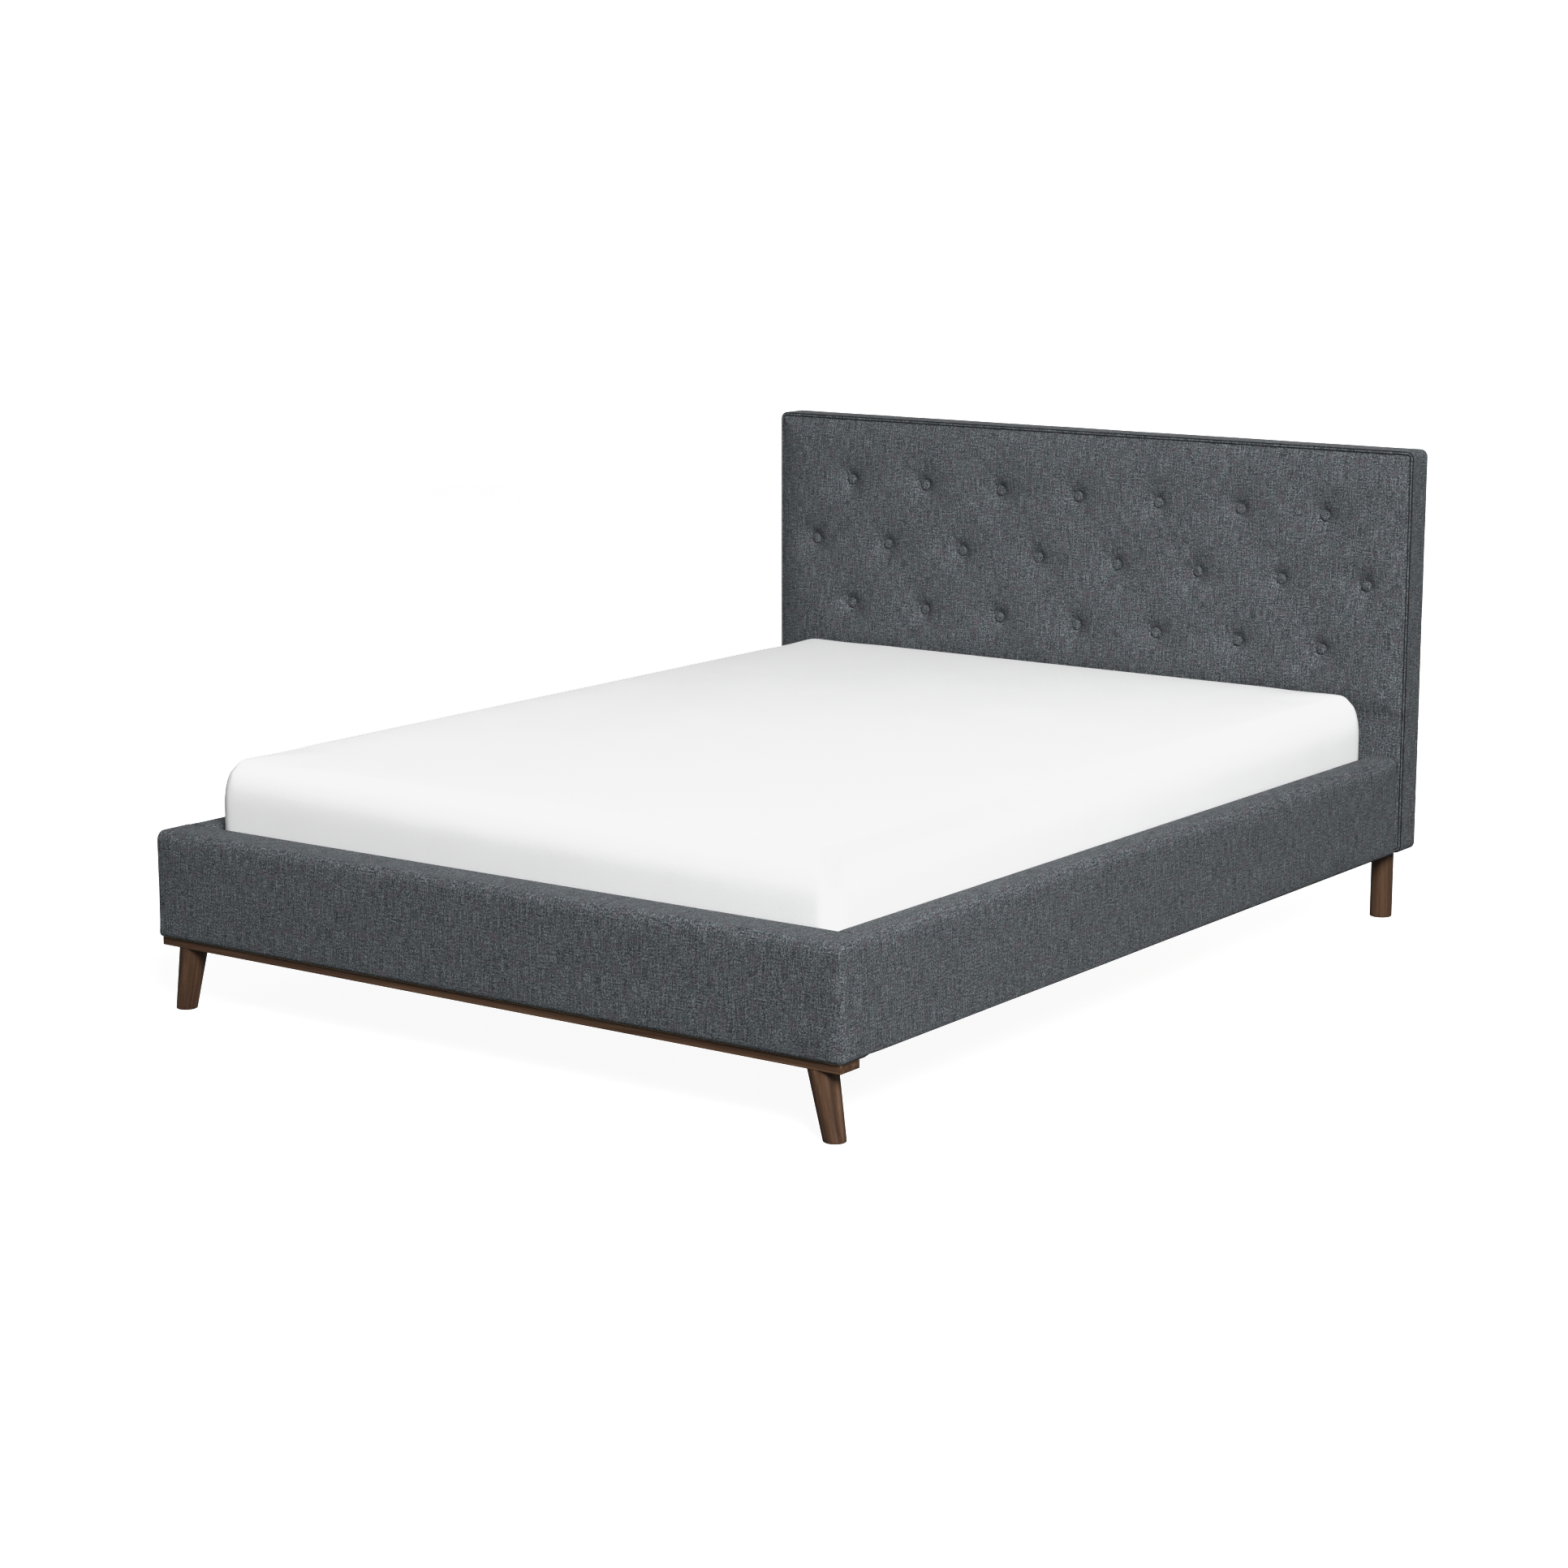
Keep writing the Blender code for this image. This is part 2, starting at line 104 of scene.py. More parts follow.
# ---- Swelling by cloth simulation: about how far each piece may swell ----
FACE_SWELL = 4.5 * MM
FOOTBOARD_SWELL = 2.4 * MM
RAIL_SWELL = 2.2 * MM
MATTRESS_SWELL = 6 * MM
CLOTH_FRAMES = 20
CLOTH_PRESSURE = 4.0

# ---- Rails and timber: the rails' covers run on into the footboard's by the tuck ----
RAIL_TUCK = 9 * MM
PLINTH_REBATE = 17 * MM
BOARD_PITCH = 60 * MM
FOOT_ROUND = 2.2 * MM
SCREW_RADIUS = 4 * MM

# ---- Light: BRIGHTEST is the level that shows as pure white ----
WHITE = (1.0, 1.0, 1.0, 1.0)
BRIGHTEST = 2.0
SKY_LOW = 0.12
SKY_HIGH = 0.30
FLOOR_HALF = 7.0

# ---- Camera: lens in millimetres, place in metres, turn in degrees ----
LENS = 81.5
SENSOR = 36
CAMERA_PLACE = (4.394, -6.232, 1.8805)
CAMERA_TURN = (78.97, 0, 35.745)

random.seed(7)


# ---- Frame helpers ----


def box(node):
    low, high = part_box(node)
    return np.array(low), np.array(high)


BUTTON_NODES = [f"headboard_button_{number:02d}" for number in range(1, BUTTON_COUNT + 1)]
SLAT_NODES = [f"slat_{number:02d}" for number in range(1, SLAT_COUNT + 1)]
HEADBOARD_LOW, HEADBOARD_HIGH = box("headboard_cover")
MIDDLE_Z = (HEADBOARD_LOW[2] + HEADBOARD_HIGH[2]) / 2
# How far the centres of the headboard's rounded corners lie from its middle.
ARC_X = HEADBOARD_HIGH[0] - CORNER
ARC_Z = HEADBOARD_HIGH[2] - CORNER - MIDDLE_Z
BUTTON_PLACES = [tuple((sum(box(node)) / 2)[[0, 2]]) for node in BUTTON_NODES]
BUTTON_PULLS = [random.uniform(0.92, 1.05) for node in BUTTON_NODES]


# ---- Mesh helpers ----


def mesh_of(name, points, faces, smooth=True):
    mesh = bpy.data.meshes.new(name)
    mesh.from_pydata(np.asarray(points).tolist(), [], [list(map(int, face)) for face in faces])
    mesh.validate()
    if smooth:
        mesh.shade_smooth()
    return mesh


def linked(name, mesh):
    made = bpy.data.objects.new(name, mesh)
    bpy.context.scene.collection.objects.link(made)
    return made


def add_piece(name, mesh, material, body="bed_frame", stands_for=()):
    mesh.materials.append(material)
    piece = linked(name, mesh)
    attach(piece, body)
    if stands_for:
        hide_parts(*stands_for)
    return piece


def lattice_shell(lines):
    """The outside of a lattice of points: its points and its quads, which face out."""
    sizes = [len(line) for line in lines]
    quads = []
    for axis in range(3):
        a, b = (axis + 1) % 3, (axis + 2) % 3
        ia, ib = np.meshgrid(np.arange(sizes[a] - 1), np.arange(sizes[b] - 1), indexing="ij")
        for end in (0, sizes[axis] - 1):
            corners = []
            for step_a, step_b in ((0, 0), (1, 0), (1, 1), (0, 1)):
                index = [None] * 3
                index[axis] = np.full(ia.shape, end)
                index[a], index[b] = ia + step_a, ib + step_b
                corners.append(np.ravel_multi_index(index, sizes).ravel())
            face = np.stack(corners, 1)
            quads.append(face if end else face[:, ::-1])
    quads = np.concatenate(quads)
    used, index = np.unique(quads, return_inverse=True)
    places = np.unravel_index(used, sizes)
    points = np.stack([line[place] for line, place in zip(lines, places)], 1)
    return points, index.reshape(-1, 4)


def graded(low, high, round_low, round_high, pitch, steps):
    """Grid lines along one side of a box, closer together over the roundings at its ends."""
    middle_low, middle_high = low + round_low, high - round_high
    count = max(1, round((middle_high - middle_low) / pitch))
    return np.concatenate(
        [
            np.linspace(low, middle_low, steps, endpoint=False),
            np.linspace(middle_low, middle_high, count, endpoint=False),
            np.linspace(middle_high, high, steps + 1),
        ]
    )


def rounded_box(low, high, round_low, round_high, pitch, steps=5):
    """A box as a fine grid, with its own rounding at each of its six sides."""
    low, high = np.array(low, float), np.array(high, float)
    round_low, round_high = np.array(round_low, float), np.array(round_high, float)
    lines = [
        graded(low[k], high[k], round_low[k], round_high[k], pitch, steps) for k in range(3)
    ]
    points, quads = lattice_shell(lines)
    centre = np.clip(points, low + round_low, high - round_high)
    reach = np.where(points < centre, round_low, round_high)
    away = (points - centre) / reach
    length = np.linalg.norm(away, axis=1)
    away *= (np.abs(away).max(axis=1) / np.maximum(length, 1e-9))[:, None]
    return centre + away * reach, quads


def ring_quads(rings, sides, closed=False):
    """Quads between each ring of points and the next, and between the last and the first if closed."""
    quads = []
    for ring in range(rings if closed else rings - 1):
        a, b = ring * sides, (ring + 1) % rings * sides
        for k in range(sides):
            m = (k + 1) % sides
            quads.append([a + k, a + m, b + m, b + k])
    return quads


def turned_faces(rings, sides):
    """The faces of a turned solid: its quads, its flat bottom and its flat top."""
    bottom, top = range(sides), range((rings - 1) * sides, rings * sides)
    return ring_quads(rings, sides) + [list(bottom)[::-1], list(top)]


def grid_quads(rows, columns):
    """The numbers of a grid's points by row and column, and the quads between them."""
    index = np.arange(rows * columns).reshape(rows, columns)
    quads = np.stack([index[:-1, :-1], index[:-1, 1:], index[1:, 1:], index[1:, :-1]], -1)
    return index, quads.reshape(-1, 4)


def joined(parts):
    """Several (points, faces) as one."""
    points, faces, total = [], [], 0
    for part_points, part_faces in parts:
        points.append(np.asarray(part_points))
        faces.extend([[index + total for index in face] for face in part_faces])
        total += len(part_points)
    return np.concatenate(points), faces


def read(items, name, width, kind=np.float32):
    """One property of a mesh's points, corners or faces, as a row for each."""
    values = np.empty(len(items) * width, kind)
    items.foreach_get(name, values)
    return values.reshape(-1, width)


def lay_weave(mesh, shift=(0.0, 0.0)):
    """Texture places in metres, laid flat on each side of the piece, so that the threads run with it."""
    vertex = read(mesh.loops, "vertex_index", 1, np.int32).ravel()
    totals = read(mesh.polygons, "loop_total", 1, np.int32).ravel()
    side = np.repeat(np.abs(read(mesh.polygons, "normal", 3)).argmax(1), totals)
    x, y, z = read(mesh.vertices, "co", 3)[vertex].T
    across = np.choose(side, [y, x, x]) + shift[0]
    up = np.choose(side, [z, z, y]) + shift[1]
    layer = mesh.uv_layers.new(name=WEAVE)
    layer.data.foreach_set("uv", np.stack([across, up], 1).astype(np.float32).ravel())


def lay_grain(mesh, places):
    """Each point's place in its board or turned leg, in metres, with z along the grain."""
    attribute = mesh.attributes.new(GRAIN, "FLOAT_VECTOR", "POINT")
    attribute.data.foreach_set("vector", np.asarray(places, np.float32).ravel())


def wander(points, scale, seed):
    """Smooth noise from -1 to 1 at each point."""
    shift = Vector((seed * 7.13, seed * 3.71, seed * 5.39))
    return np.array([noise.noise(Vector(point) * scale + shift) for point in points])


def swell(points, faces, held, most):
    """Cloth under pressure, fixed where held is true. No point ends further than most from its start."""
    scene = bpy.context.scene
    cloth_object = linked("cloth", mesh_of("cloth", points, faces))
    group = cloth_object.vertex_groups.new(name="held")
    group.add([int(index) for index in np.flatnonzero(held)], 1.0, "REPLACE")
    cloth = cloth_object.modifiers.new("Cloth", "CLOTH")
    cloth.point_cache.frame_start, cloth.point_cache.frame_end = 1, CLOTH_FRAMES
    settings = cloth.settings
    settings.vertex_group_mass = group.name
    settings.use_pressure = True
    settings.uniform_pressure_force = CLOTH_PRESSURE
    settings.quality = 3
    settings.effector_weights.gravity = 0
    cloth.collision_settings.use_collision = False
    for moment in range(1, CLOTH_FRAMES + 1):
        scene.frame_set(moment)
    cloth_mesh = cloth_object.evaluated_get(bpy.context.evaluated_depsgraph_get()).data
    moved = read(cloth_mesh.vertices, "co", 3) - points
    bpy.data.objects.remove(cloth_object)
    scene.frame_set(1)
    length = np.maximum(np.linalg.norm(moved, axis=1), 1e-9)
    most = np.maximum(most, 1e-9)
    return points + moved * (most * np.tanh(length / most) / length)[:, None]


# ---- Materials ----


class Nodes:
    """A short way to write a material's nodes."""

    def __init__(self, name, **shader):
        self.material = bpy.data.materials.new(name)
        self.material.use_nodes = True
        self.tree = self.material.node_tree
        self.shader = self.tree.nodes["Principled BSDF"]
        self.give(self.shader, shader)

    def give(self, node, inputs):
        for name, value in inputs.items():
            socket = node.inputs[int(name[1:]) if name[0] == "_" and name[1:].isdigit() else name]
            if isinstance(value, bpy.types.NodeSocket):
                self.tree.links.new(value, socket)
            else:
                socket.default_value = value

    def add(self, kind, inputs=None, **settings):
        node = self.tree.nodes.new("ShaderNode" + kind)
        for name, value in settings.items():
            setattr(node, name, value)
        self.give(node, inputs or {})
        return node

    def weave_place(self):
        return self.add("UVMap", uv_map=WEAVE).outputs["UV"]

    def grain_place(self):
        return self.add("Attribute", attribute_name=GRAIN).outputs["Vector"]

    def object_place(self):
        return self.add("TexCoord").outputs["Object"]

    def math(self, operation, *values):
        inputs = {f"_{k}": value for k, value in enumerate(values)}
        return self.add("Math", inputs, operation=operation).outputs[0]

    def vector(self, operation, *values):
        inputs = {f"_{k}": value for k, value in enumerate(values)}
        return self.add("VectorMath", inputs, operation=operation).outputs[0]

    def parts(self, vector):
        return self.add("SeparateXYZ", {"Vector": vector}).outputs

    def joined(self, x, y, z=0.0):
        return self.add("CombineXYZ", {"X": x, "Y": y, "Z": z}).outputs[0]

    def noise(self, place, scale, detail=1.0, roughness=0.5, flat=True):
        place = self.vector("MULTIPLY", place, scale)
        inputs = {"Vector": place, "Scale": 1.0, "Detail": detail, "Roughness": roughness}
        return self.add("TexNoise", inputs, noise_dimensions="2D" if flat else "3D").outputs[0]

    def spread(self, value, low, high, to_low=0.0, to_high=1.0):
        inputs = {"Value": value, "From Min": low, "From Max": high}
        inputs.update({"To Min": to_low, "To Max": to_high})
        return self.add("MapRange", inputs).outputs[0]

    def ramp(self, factor, stops):
        node = self.add("ValToRGB", {"Fac": factor})
        for element in list(node.color_ramp.elements)[1:]:
            node.color_ramp.elements.remove(element)
        first = node.color_ramp.elements[0]
        first.position, first.color = stops[0][0], (*stops[0][1], 1)
        for position, colour in stops[1:]:
            node.color_ramp.elements.new(position).color = (*colour, 1)
        return node.outputs[0]

    def mix(self, factor, a, b, blend="MIX"):
        a, b = ((*v, 1) if isinstance(v, tuple) and len(v) == 3 else v for v in (a, b))
        node = self.add("Mix", data_type="RGBA", blend_type=blend)
        self.give(node, {"_0": factor, "_6": a, "_7": b})
        return node.outputs[2]

    def blend(self, factor, a, b):
        node = self.add("Mix", data_type="FLOAT")
        self.give(node, {"_0": factor, "_2": a, "_3": b})
        return node.outputs[0]

    def bump(self, height, distance, strength):
        inputs = {"Height": height, "Distance": distance, "Strength": strength}
        return self.add("Bump", inputs).outputs[0]


def upholstery_fabric():
    """Slate tweed: a plain weave of slubby melange threads, with warm and green patches."""
    pitch = 2.3 * MM
    n = Nodes(
        "upholstery_fabric",
        **{"Roughness": 0.92, "Specular IOR Level": 0.18},
        **{"Sheen Weight": 0.03, "Sheen Roughness": 0.5, "Sheen Tint": (0.80, 0.86, 0.92, 1)},
    )
    flat = n.weave_place()
    drift_x = n.spread(n.noise(flat, (60, 14, 1)), 0, 1, -1.6 * MM, 1.6 * MM)
    drift_y = n.spread(n.noise(flat, (14, 60, 1)), 0, 1, -1.6 * MM, 1.6 * MM)
    place = n.vector("ADD", flat, n.joined(drift_x, drift_y))
    across, up, _ = n.parts(n.vector("MULTIPLY", place, (1 / pitch, 1 / pitch, 1)))
    u, v, _ = n.parts(place)

    wave_u = n.math("SINE", n.math("MULTIPLY", across, math.pi))
    wave_v = n.math("SINE", n.math("MULTIPLY", up, math.pi))
    patches = n.spread(n.noise(place, (34, 34, 1), 1.5), 0.3, 0.7, -0.55, 0.55)
    over = n.math("ADD", n.math("MULTIPLY", wave_u, wave_v), patches)
    warp_on_top = n.spread(over, -0.25, 0.25)

    warp_tone = n.noise(n.joined(n.math("FLOOR", across), v), (0.83, 210, 1), 2.0, 0.6)
    weft_tone = n.noise(n.joined(u, n.math("FLOOR", up)), (210, 0.83, 1), 2.0, 0.6)
    slub = n.blend(warp_on_top, weft_tone, warp_tone)
    fleck = n.noise(place, (340, 370, 1), 1.0, 0.6)
    upright = n.noise(place, (330, 24, 1), 0.5)
    level = n.noise(flat, (44, 300, 1), 0.5)
    cloudy = n.noise(place, (8, 8, 1), 2.0, 0.6)
    tone = n.math("MULTIPLY", slub, 0.36)
    for share, part in ((0.38, fleck), (0.14, upright), (0.12, level)):
        tone = n.math("MULTIPLY_ADD", part, share, tone)
    tone = n.math("ADD", tone, n.spread(cloudy, 0.3, 0.7, -0.005, 0.005))
    colour = n.ramp(
        n.spread(tone, 0.385, 0.615),
        [
            (0.0, (0.0135, 0.0162, 0.0186)),
            (0.35, (0.0432, 0.0489, 0.0536)),
            (0.6, (0.0714, 0.0796, 0.0854)),
            (1.0, (0.1680, 0.1840, 0.1950)),
        ],
    )
    warm = n.math("MULTIPLY", n.spread(n.noise(place, (44, 44, 1), 2.0), 0.54, 0.70), 0.36)
    colour = n.mix(warm, colour, (0.076, 0.053, 0.067))
    green = n.math("MULTIPLY", n.spread(n.noise(flat, (-38, 38, 1), 2.0), 0.58, 0.72), 0.32)
    colour = n.mix(green, colour, (0.054, 0.071, 0.067))

    warp_round = n.math("ABSOLUTE", wave_u)
    weft_round = n.math("ABSOLUTE", wave_v)
    thread = n.blend(warp_on_top, weft_round, warp_round)
    gap = n.spread(thread, 0.0, 0.55, 0.58, 1.0)
    colour = n.mix(1.0, colour, n.joined(gap, gap, gap), "MULTIPLY")

    height = n.math("ADD", n.math("POWER", thread, 0.6), n.math("MULTIPLY", slub, 0.8))
    n.give(n.shader, {"Base Color": colour, "Normal": n.bump(height, 0.12 * MM, 0.7)})
    return n.material


def seam_shadow_thread():
    """Near-black twisted sewing thread, laid in the seam groove as painted shade."""
    n = Nodes("seam_shadow_thread", **{"Roughness": 0.8, "Specular IOR Level": 0.2})
    along, up, _ = n.parts(n.weave_place())
    twist = n.math("SINE", n.math("MULTIPLY", n.math("ADD", along, up), 2400))
    # Painted shade: near-black tones, so that the thread darkens the seam groove as its shade would.
    colour = n.ramp(n.spread(twist, -1, 1), [(0, (0.004, 0.0045, 0.005)), (1, (0.014, 0.0155, 0.017))])
    n.give(n.shader, {"Base Color": colour, "Normal": n.bump(twist, 0.1 * MM, 0.7)})
    return n.material


def wood(name, stops, rings, pores, roughness):
    """Straight-grained timber, from each point's place in its board."""
    n = Nodes(name, **{"Specular IOR Level": 0.28})
    place = n.grain_place()
    bend = n.spread(n.noise(place, (9, 9, 2.2), 2.0, 0.5, False), 0, 1, -0.012, 0.012)
    x, y, z = n.parts(place)
    bent = n.joined(n.math("ADD", x, bend), n.math("ADD", y, bend), z)
    band = n.noise(bent, (rings, rings, rings * 0.018), 3.0, 0.55, False)
    fine = n.noise(bent, (pores, pores, pores * 0.03), 2.0, 0.6, False)
    tone = n.math("ADD", n.math("MULTIPLY", band, 0.72), n.math("MULTIPLY", fine, 0.28))
    colour = n.ramp(n.spread(tone, 0.32, 0.68), stops)
    dull = n.spread(fine, 0.35, 0.65, roughness + 0.09, roughness - 0.07)
    normal = n.bump(n.spread(fine, 0.30, 0.55), 0.12 * MM, 0.6)
    n.give(n.shader, {"Base Color": colour, "Roughness": dull, "Normal": normal})
    return n.material


def walnut():
    stops = [
        (0.0, (0.029, 0.0145, 0.0085)),
        (0.4, (0.061, 0.0318, 0.0180)),
        (0.65, (0.086, 0.0460, 0.0262)),
        (1.0, (0.132, 0.0760, 0.0440)),
    ]
    return wood("walnut", stops, 95, 1500, 0.42)


def pine():
    stops = [
        (0.0, (0.33, 0.185, 0.085)),
        (0.45, (0.52, 0.345, 0.185)),
        (1.0, (0.66, 0.480, 0.290)),
    ]
    return wood("pine", stops, 60, 1300, 0.55)


def plywood():
    """Board for what the covers hide: face grain, and thin darker plies along its height."""
    n = Nodes("plywood", **{"Specular IOR Level": 0.3})
    place = n.object_place()
    face = n.noise(place, (70, 70, 14), 3.0, 0.6, False)
    plies = n.spread(n.noise(place, (3, 3, 640), 0.0, 0.5, False), 0.42, 0.58)
    colour = n.ramp(n.spread(face, 0.3, 0.7), [(0, (0.40, 0.25, 0.13)), (1, (0.60, 0.43, 0.25))])
    colour = n.mix(n.math("MULTIPLY", plies, 0.25), colour, (0.30, 0.17, 0.08))
    n.give(n.shader, {"Base Color": colour, "Roughness": n.spread(face, 0.3, 0.7, 0.72, 0.6)})
    return n.material


def foam():
    n = Nodes("foam", **{"Roughness": 0.95, "Specular IOR Level": 0.1})
    place = n.object_place()
    cells = n.noise(place, (900, 900, 900), 2.0, 0.7, False)
    ageing = n.noise(place, (9, 9, 9), 2.0, 0.5, False)
    colour = n.ramp(n.spread(cells, 0.3, 0.7), [(0, (0.42, 0.36, 0.22)), (1, (0.72, 0.66, 0.48))])
    colour = n.mix(n.spread(ageing, 0.4, 0.7, 0, 0.3), colour, (0.60, 0.50, 0.28))
    n.give(n.shader, {"Base Color": colour, "Normal": n.bump(cells, 0.5 * MM, 0.7)})
    return n.material


def back_cloth():
    """Black non-woven lining: matted fibres pressed with a grid of small bond points."""
    n = Nodes("back_cloth", **{"Roughness": 0.85, "Specular IOR Level": 0.25})
    place = n.weave_place()
    fibres = n.noise(place, (700, 260, 1), 4.0, 0.7)
    x, y, _ = n.parts(n.vector("MULTIPLY", place, (1100, 1100, 1)))
    points = n.math("MULTIPLY", n.math("SINE", x), n.math("SINE", y))
    bonds = n.spread(points, 0.45, 0.8)
    cloudy = n.noise(place, (16, 16, 1), 3.0, 0.6)
    tone = n.math("ADD", n.math("MULTIPLY", fibres, 0.6), n.math("MULTIPLY", cloudy, 0.4))
    colour = n.ramp(n.spread(tone, 0.3, 0.7), [(0, (0.010, 0.010, 0.011)), (1, (0.038, 0.038, 0.041))])
    height = n.math("SUBTRACT", fibres, bonds)
    n.give(n.shader, {"Base Color": colour, "Normal": n.bump(height, 0.2 * MM, 0.8)})
    return n.material


def steel():
    """Zinc-plated steel: faint crystals, rubbed and dulled in places."""
    tone = (0.50, 0.51, 0.53)
    n = Nodes("steel", **{"Metallic": 1.0})
    place = n.object_place()
    spangle = n.add("TexVoronoi", {"Vector": place, "Scale": 260.0}).outputs["Distance"]
    rubbed = n.noise(place, (90, 90, 90), 4.0, 0.6, False)
    dark = tuple(0.72 * part for part in tone)
    colour = n.ramp(n.spread(spangle, 0.0, 0.8), [(0, tone), (1, dark)])
    dull = n.spread(rubbed, 0.3, 0.7, 0.30, 0.52)
    n.give(n.shader, {"Base Color": colour, "Roughness": dull})
    n.give(n.shader, {"Normal": n.bump(rubbed, 0.05 * MM, 0.5)})
    return n.material


def mattress_cover(name, low, high, pitch):
    """Knitted mattress cover: rows of fine loops, slightly uneven in tone."""
    n = Nodes(name, **{"Roughness": 0.88, "Specular IOR Level": 0.2})
    n.give(n.shader, {"Sheen Weight": 0.08, "Sheen Roughness": 0.5})
    place = n.weave_place()
    x, y, _ = n.parts(n.vector("MULTIPLY", place, (math.pi / pitch, math.pi / pitch, 1)))
    rib = n.math("ABSOLUTE", n.math("SINE", x))
    zigzag = n.math("ADD", y, n.math("MULTIPLY", rib, 1.4))
    loops = n.math("MULTIPLY", rib, n.math("ABSOLUTE", n.math("SINE", zigzag)))
    cloudy = n.noise(place, (5, 5, 1), 3.0, 0.55)
    lint = n.noise(place, (240, 240, 1), 2.0, 0.6)
    tone = n.math("ADD", n.math("MULTIPLY", cloudy, 0.5), n.math("MULTIPLY", lint, 0.5))
    colour = n.ramp(n.spread(tone, 0.25, 0.75), [(0, low), (1, high)])
    deep = n.spread(loops, 0.0, 0.5, 0.93, 1.0)
    colour = n.mix(1.0, colour, n.joined(deep, deep, deep), "MULTIPLY")
    n.give(n.shader, {"Base Color": colour, "Normal": n.bump(loops, 0.25 * MM, 0.45)})
    return n.material


# ---- Headboard ----


def inside_seam(x, z):
    """How far inside the seam round the face each point lies."""
    radius = CORNER - SEAM_INSET
    reach_x = HEADBOARD_HIGH[0] - SEAM_INSET - radius
    reach_z = (HEADBOARD_HIGH[2] - HEADBOARD_LOW[2]) / 2 - SEAM_INSET - radius
    past_x = np.abs(x) - reach_x
    past_z = np.abs(z - MIDDLE_Z) - reach_z
    outside = np.hypot(np.maximum(past_x, 0), np.maximum(past_z, 0))
    return radius - outside - np.minimum(np.maximum(past_x, past_z), 0)


def tuft_depth(x, z):
    """How far the buttons pull the face in, with pleats that run towards their neighbours."""
    draw = random.Random(21)
    depth = np.zeros_like(x)
    for place, strength in zip(BUTTON_PLACES, BUTTON_PULLS):
        dx, dz = x - place[0], z - place[1]
        distance = np.hypot(dx, dz)
        turn = np.arctan2(dz, dx)
        out = np.maximum(distance - TUFT_SEAT_RADIUS, 0)
        pull = TUFT_DEPTH * strength * np.exp(-out / TUFT_REACH)
        for angle in NEIGHBOUR_ANGLES:
            heading = math.radians(angle + draw.uniform(-PLEAT_STRAY, PLEAT_STRAY))
            size = PLEAT_DEPTH * draw.uniform(0.15, 1.0)
            off = np.abs(np.angle(np.exp(1j * (turn - heading))))
            across = distance * np.sin(np.minimum(off, math.pi / 2))
            width = PLEAT_WIDTH + PLEAT_FLARE * distance
            envelope = (1 - np.exp(-out / PLEAT_START)) * np.exp(-out / PLEAT_REACH)
            shoulder = SHOULDER_HEIGHT * np.exp(-((across / width / SHOULDER_WIDTH) ** 2))
            crease = np.exp(-((across / width) ** 2)) - shoulder
            pull = pull + size * np.where(off < math.pi / 2, crease, 0) * envelope
        depth = np.maximum(depth, 0) + pull
    return depth


def crown_height(x, z):
    """How far the padding stands forward of the seam, away from the edges and above the mattress."""
    rise = np.clip(np.minimum(inside_seam(x, z), z - TUFTED_ABOVE) / CROWN_REACH, 0, 1)
    return FACE_CROWN * (1 - (1 - rise) ** 2)


def face_grid():
    """The tufted face before it swells: points, quads, boundary loop, where it is held, and its size."""
    low, high = HEADBOARD_LOW, HEADBOARD_HIGH
    radius = CORNER - SEAM_INSET
    near_edge = radius * np.array([0.0, 0.1, 0.22, 0.36, 0.54, 0.76])

    def lines(start, end, middles):
        return np.concatenate([start + near_edge, middles, (end - near_edge)[::-1]])

    def evenly(start, end, pitch):
        return np.linspace(start, end, round((end - start) / pitch) + 1)

    start_x, end_x = low[0] + SEAM_INSET, high[0] - SEAM_INSET
    start_z, end_z = low[2] + SEAM_INSET, high[2] - SEAM_INSET
    hidden = evenly(start_z + radius, TUFTED_ABOVE, HIDDEN_PITCH)
    shown = evenly(TUFTED_ABOVE, end_z - radius, HEADBOARD_PITCH)
    xs = lines(start_x, end_x, evenly(start_x + radius, end_x - radius, HEADBOARD_PITCH))
    zs = lines(start_z, end_z, np.concatenate([hidden, shown[1:]]))
    grid_x, grid_z = np.meshgrid(xs, zs)
    reach_x, reach_z = end_x - radius, end_z - radius - MIDDLE_Z
    centre_x = np.clip(grid_x, -reach_x, reach_x)
    centre_z = np.clip(grid_z, MIDDLE_Z - reach_z, MIDDLE_Z + reach_z)
    away_x, away_z = grid_x - centre_x, grid_z - centre_z
    length = np.maximum(np.hypot(away_x, away_z), 1e-9)
    share = np.maximum(np.abs(away_x), np.abs(away_z)) / length
    grid_x, grid_z = centre_x + away_x * share, centre_z + away_z * share

    x, z = grid_x.ravel(), grid_z.ravel()
    inside = inside_seam(x, z)
    roll = np.clip((ROLL_WIDTH - inside) / ROLL_WIDTH, 0, 1)
    depth = SEAM_DEPTH * (1 - np.sqrt(1 - np.minimum(roll, 0.999) ** 2))
    depth = np.minimum(depth + tuft_depth(x, z) - crown_height(x, z), TUFT_DEEPEST)
    points = np.stack([x, low[1] + depth, z], 1)

    index, quads = grid_quads(len(zs), len(xs))
    loop = np.concatenate([index[0, :-1], index[:-1, -1], index[-1, :0:-1], index[:0:-1, 0]])

    seats = np.array(BUTTON_PLACES)
    nearest = np.hypot(x[:, None] - seats[:, 0], z[:, None] - seats[:, 1]).min(axis=1)
    held = (inside < 1e-6) | (z < TUFTED_ABOVE) | (nearest < TUFT_SEAT_RADIUS)
    return points, quads, loop, held, (len(zs), len(xs))


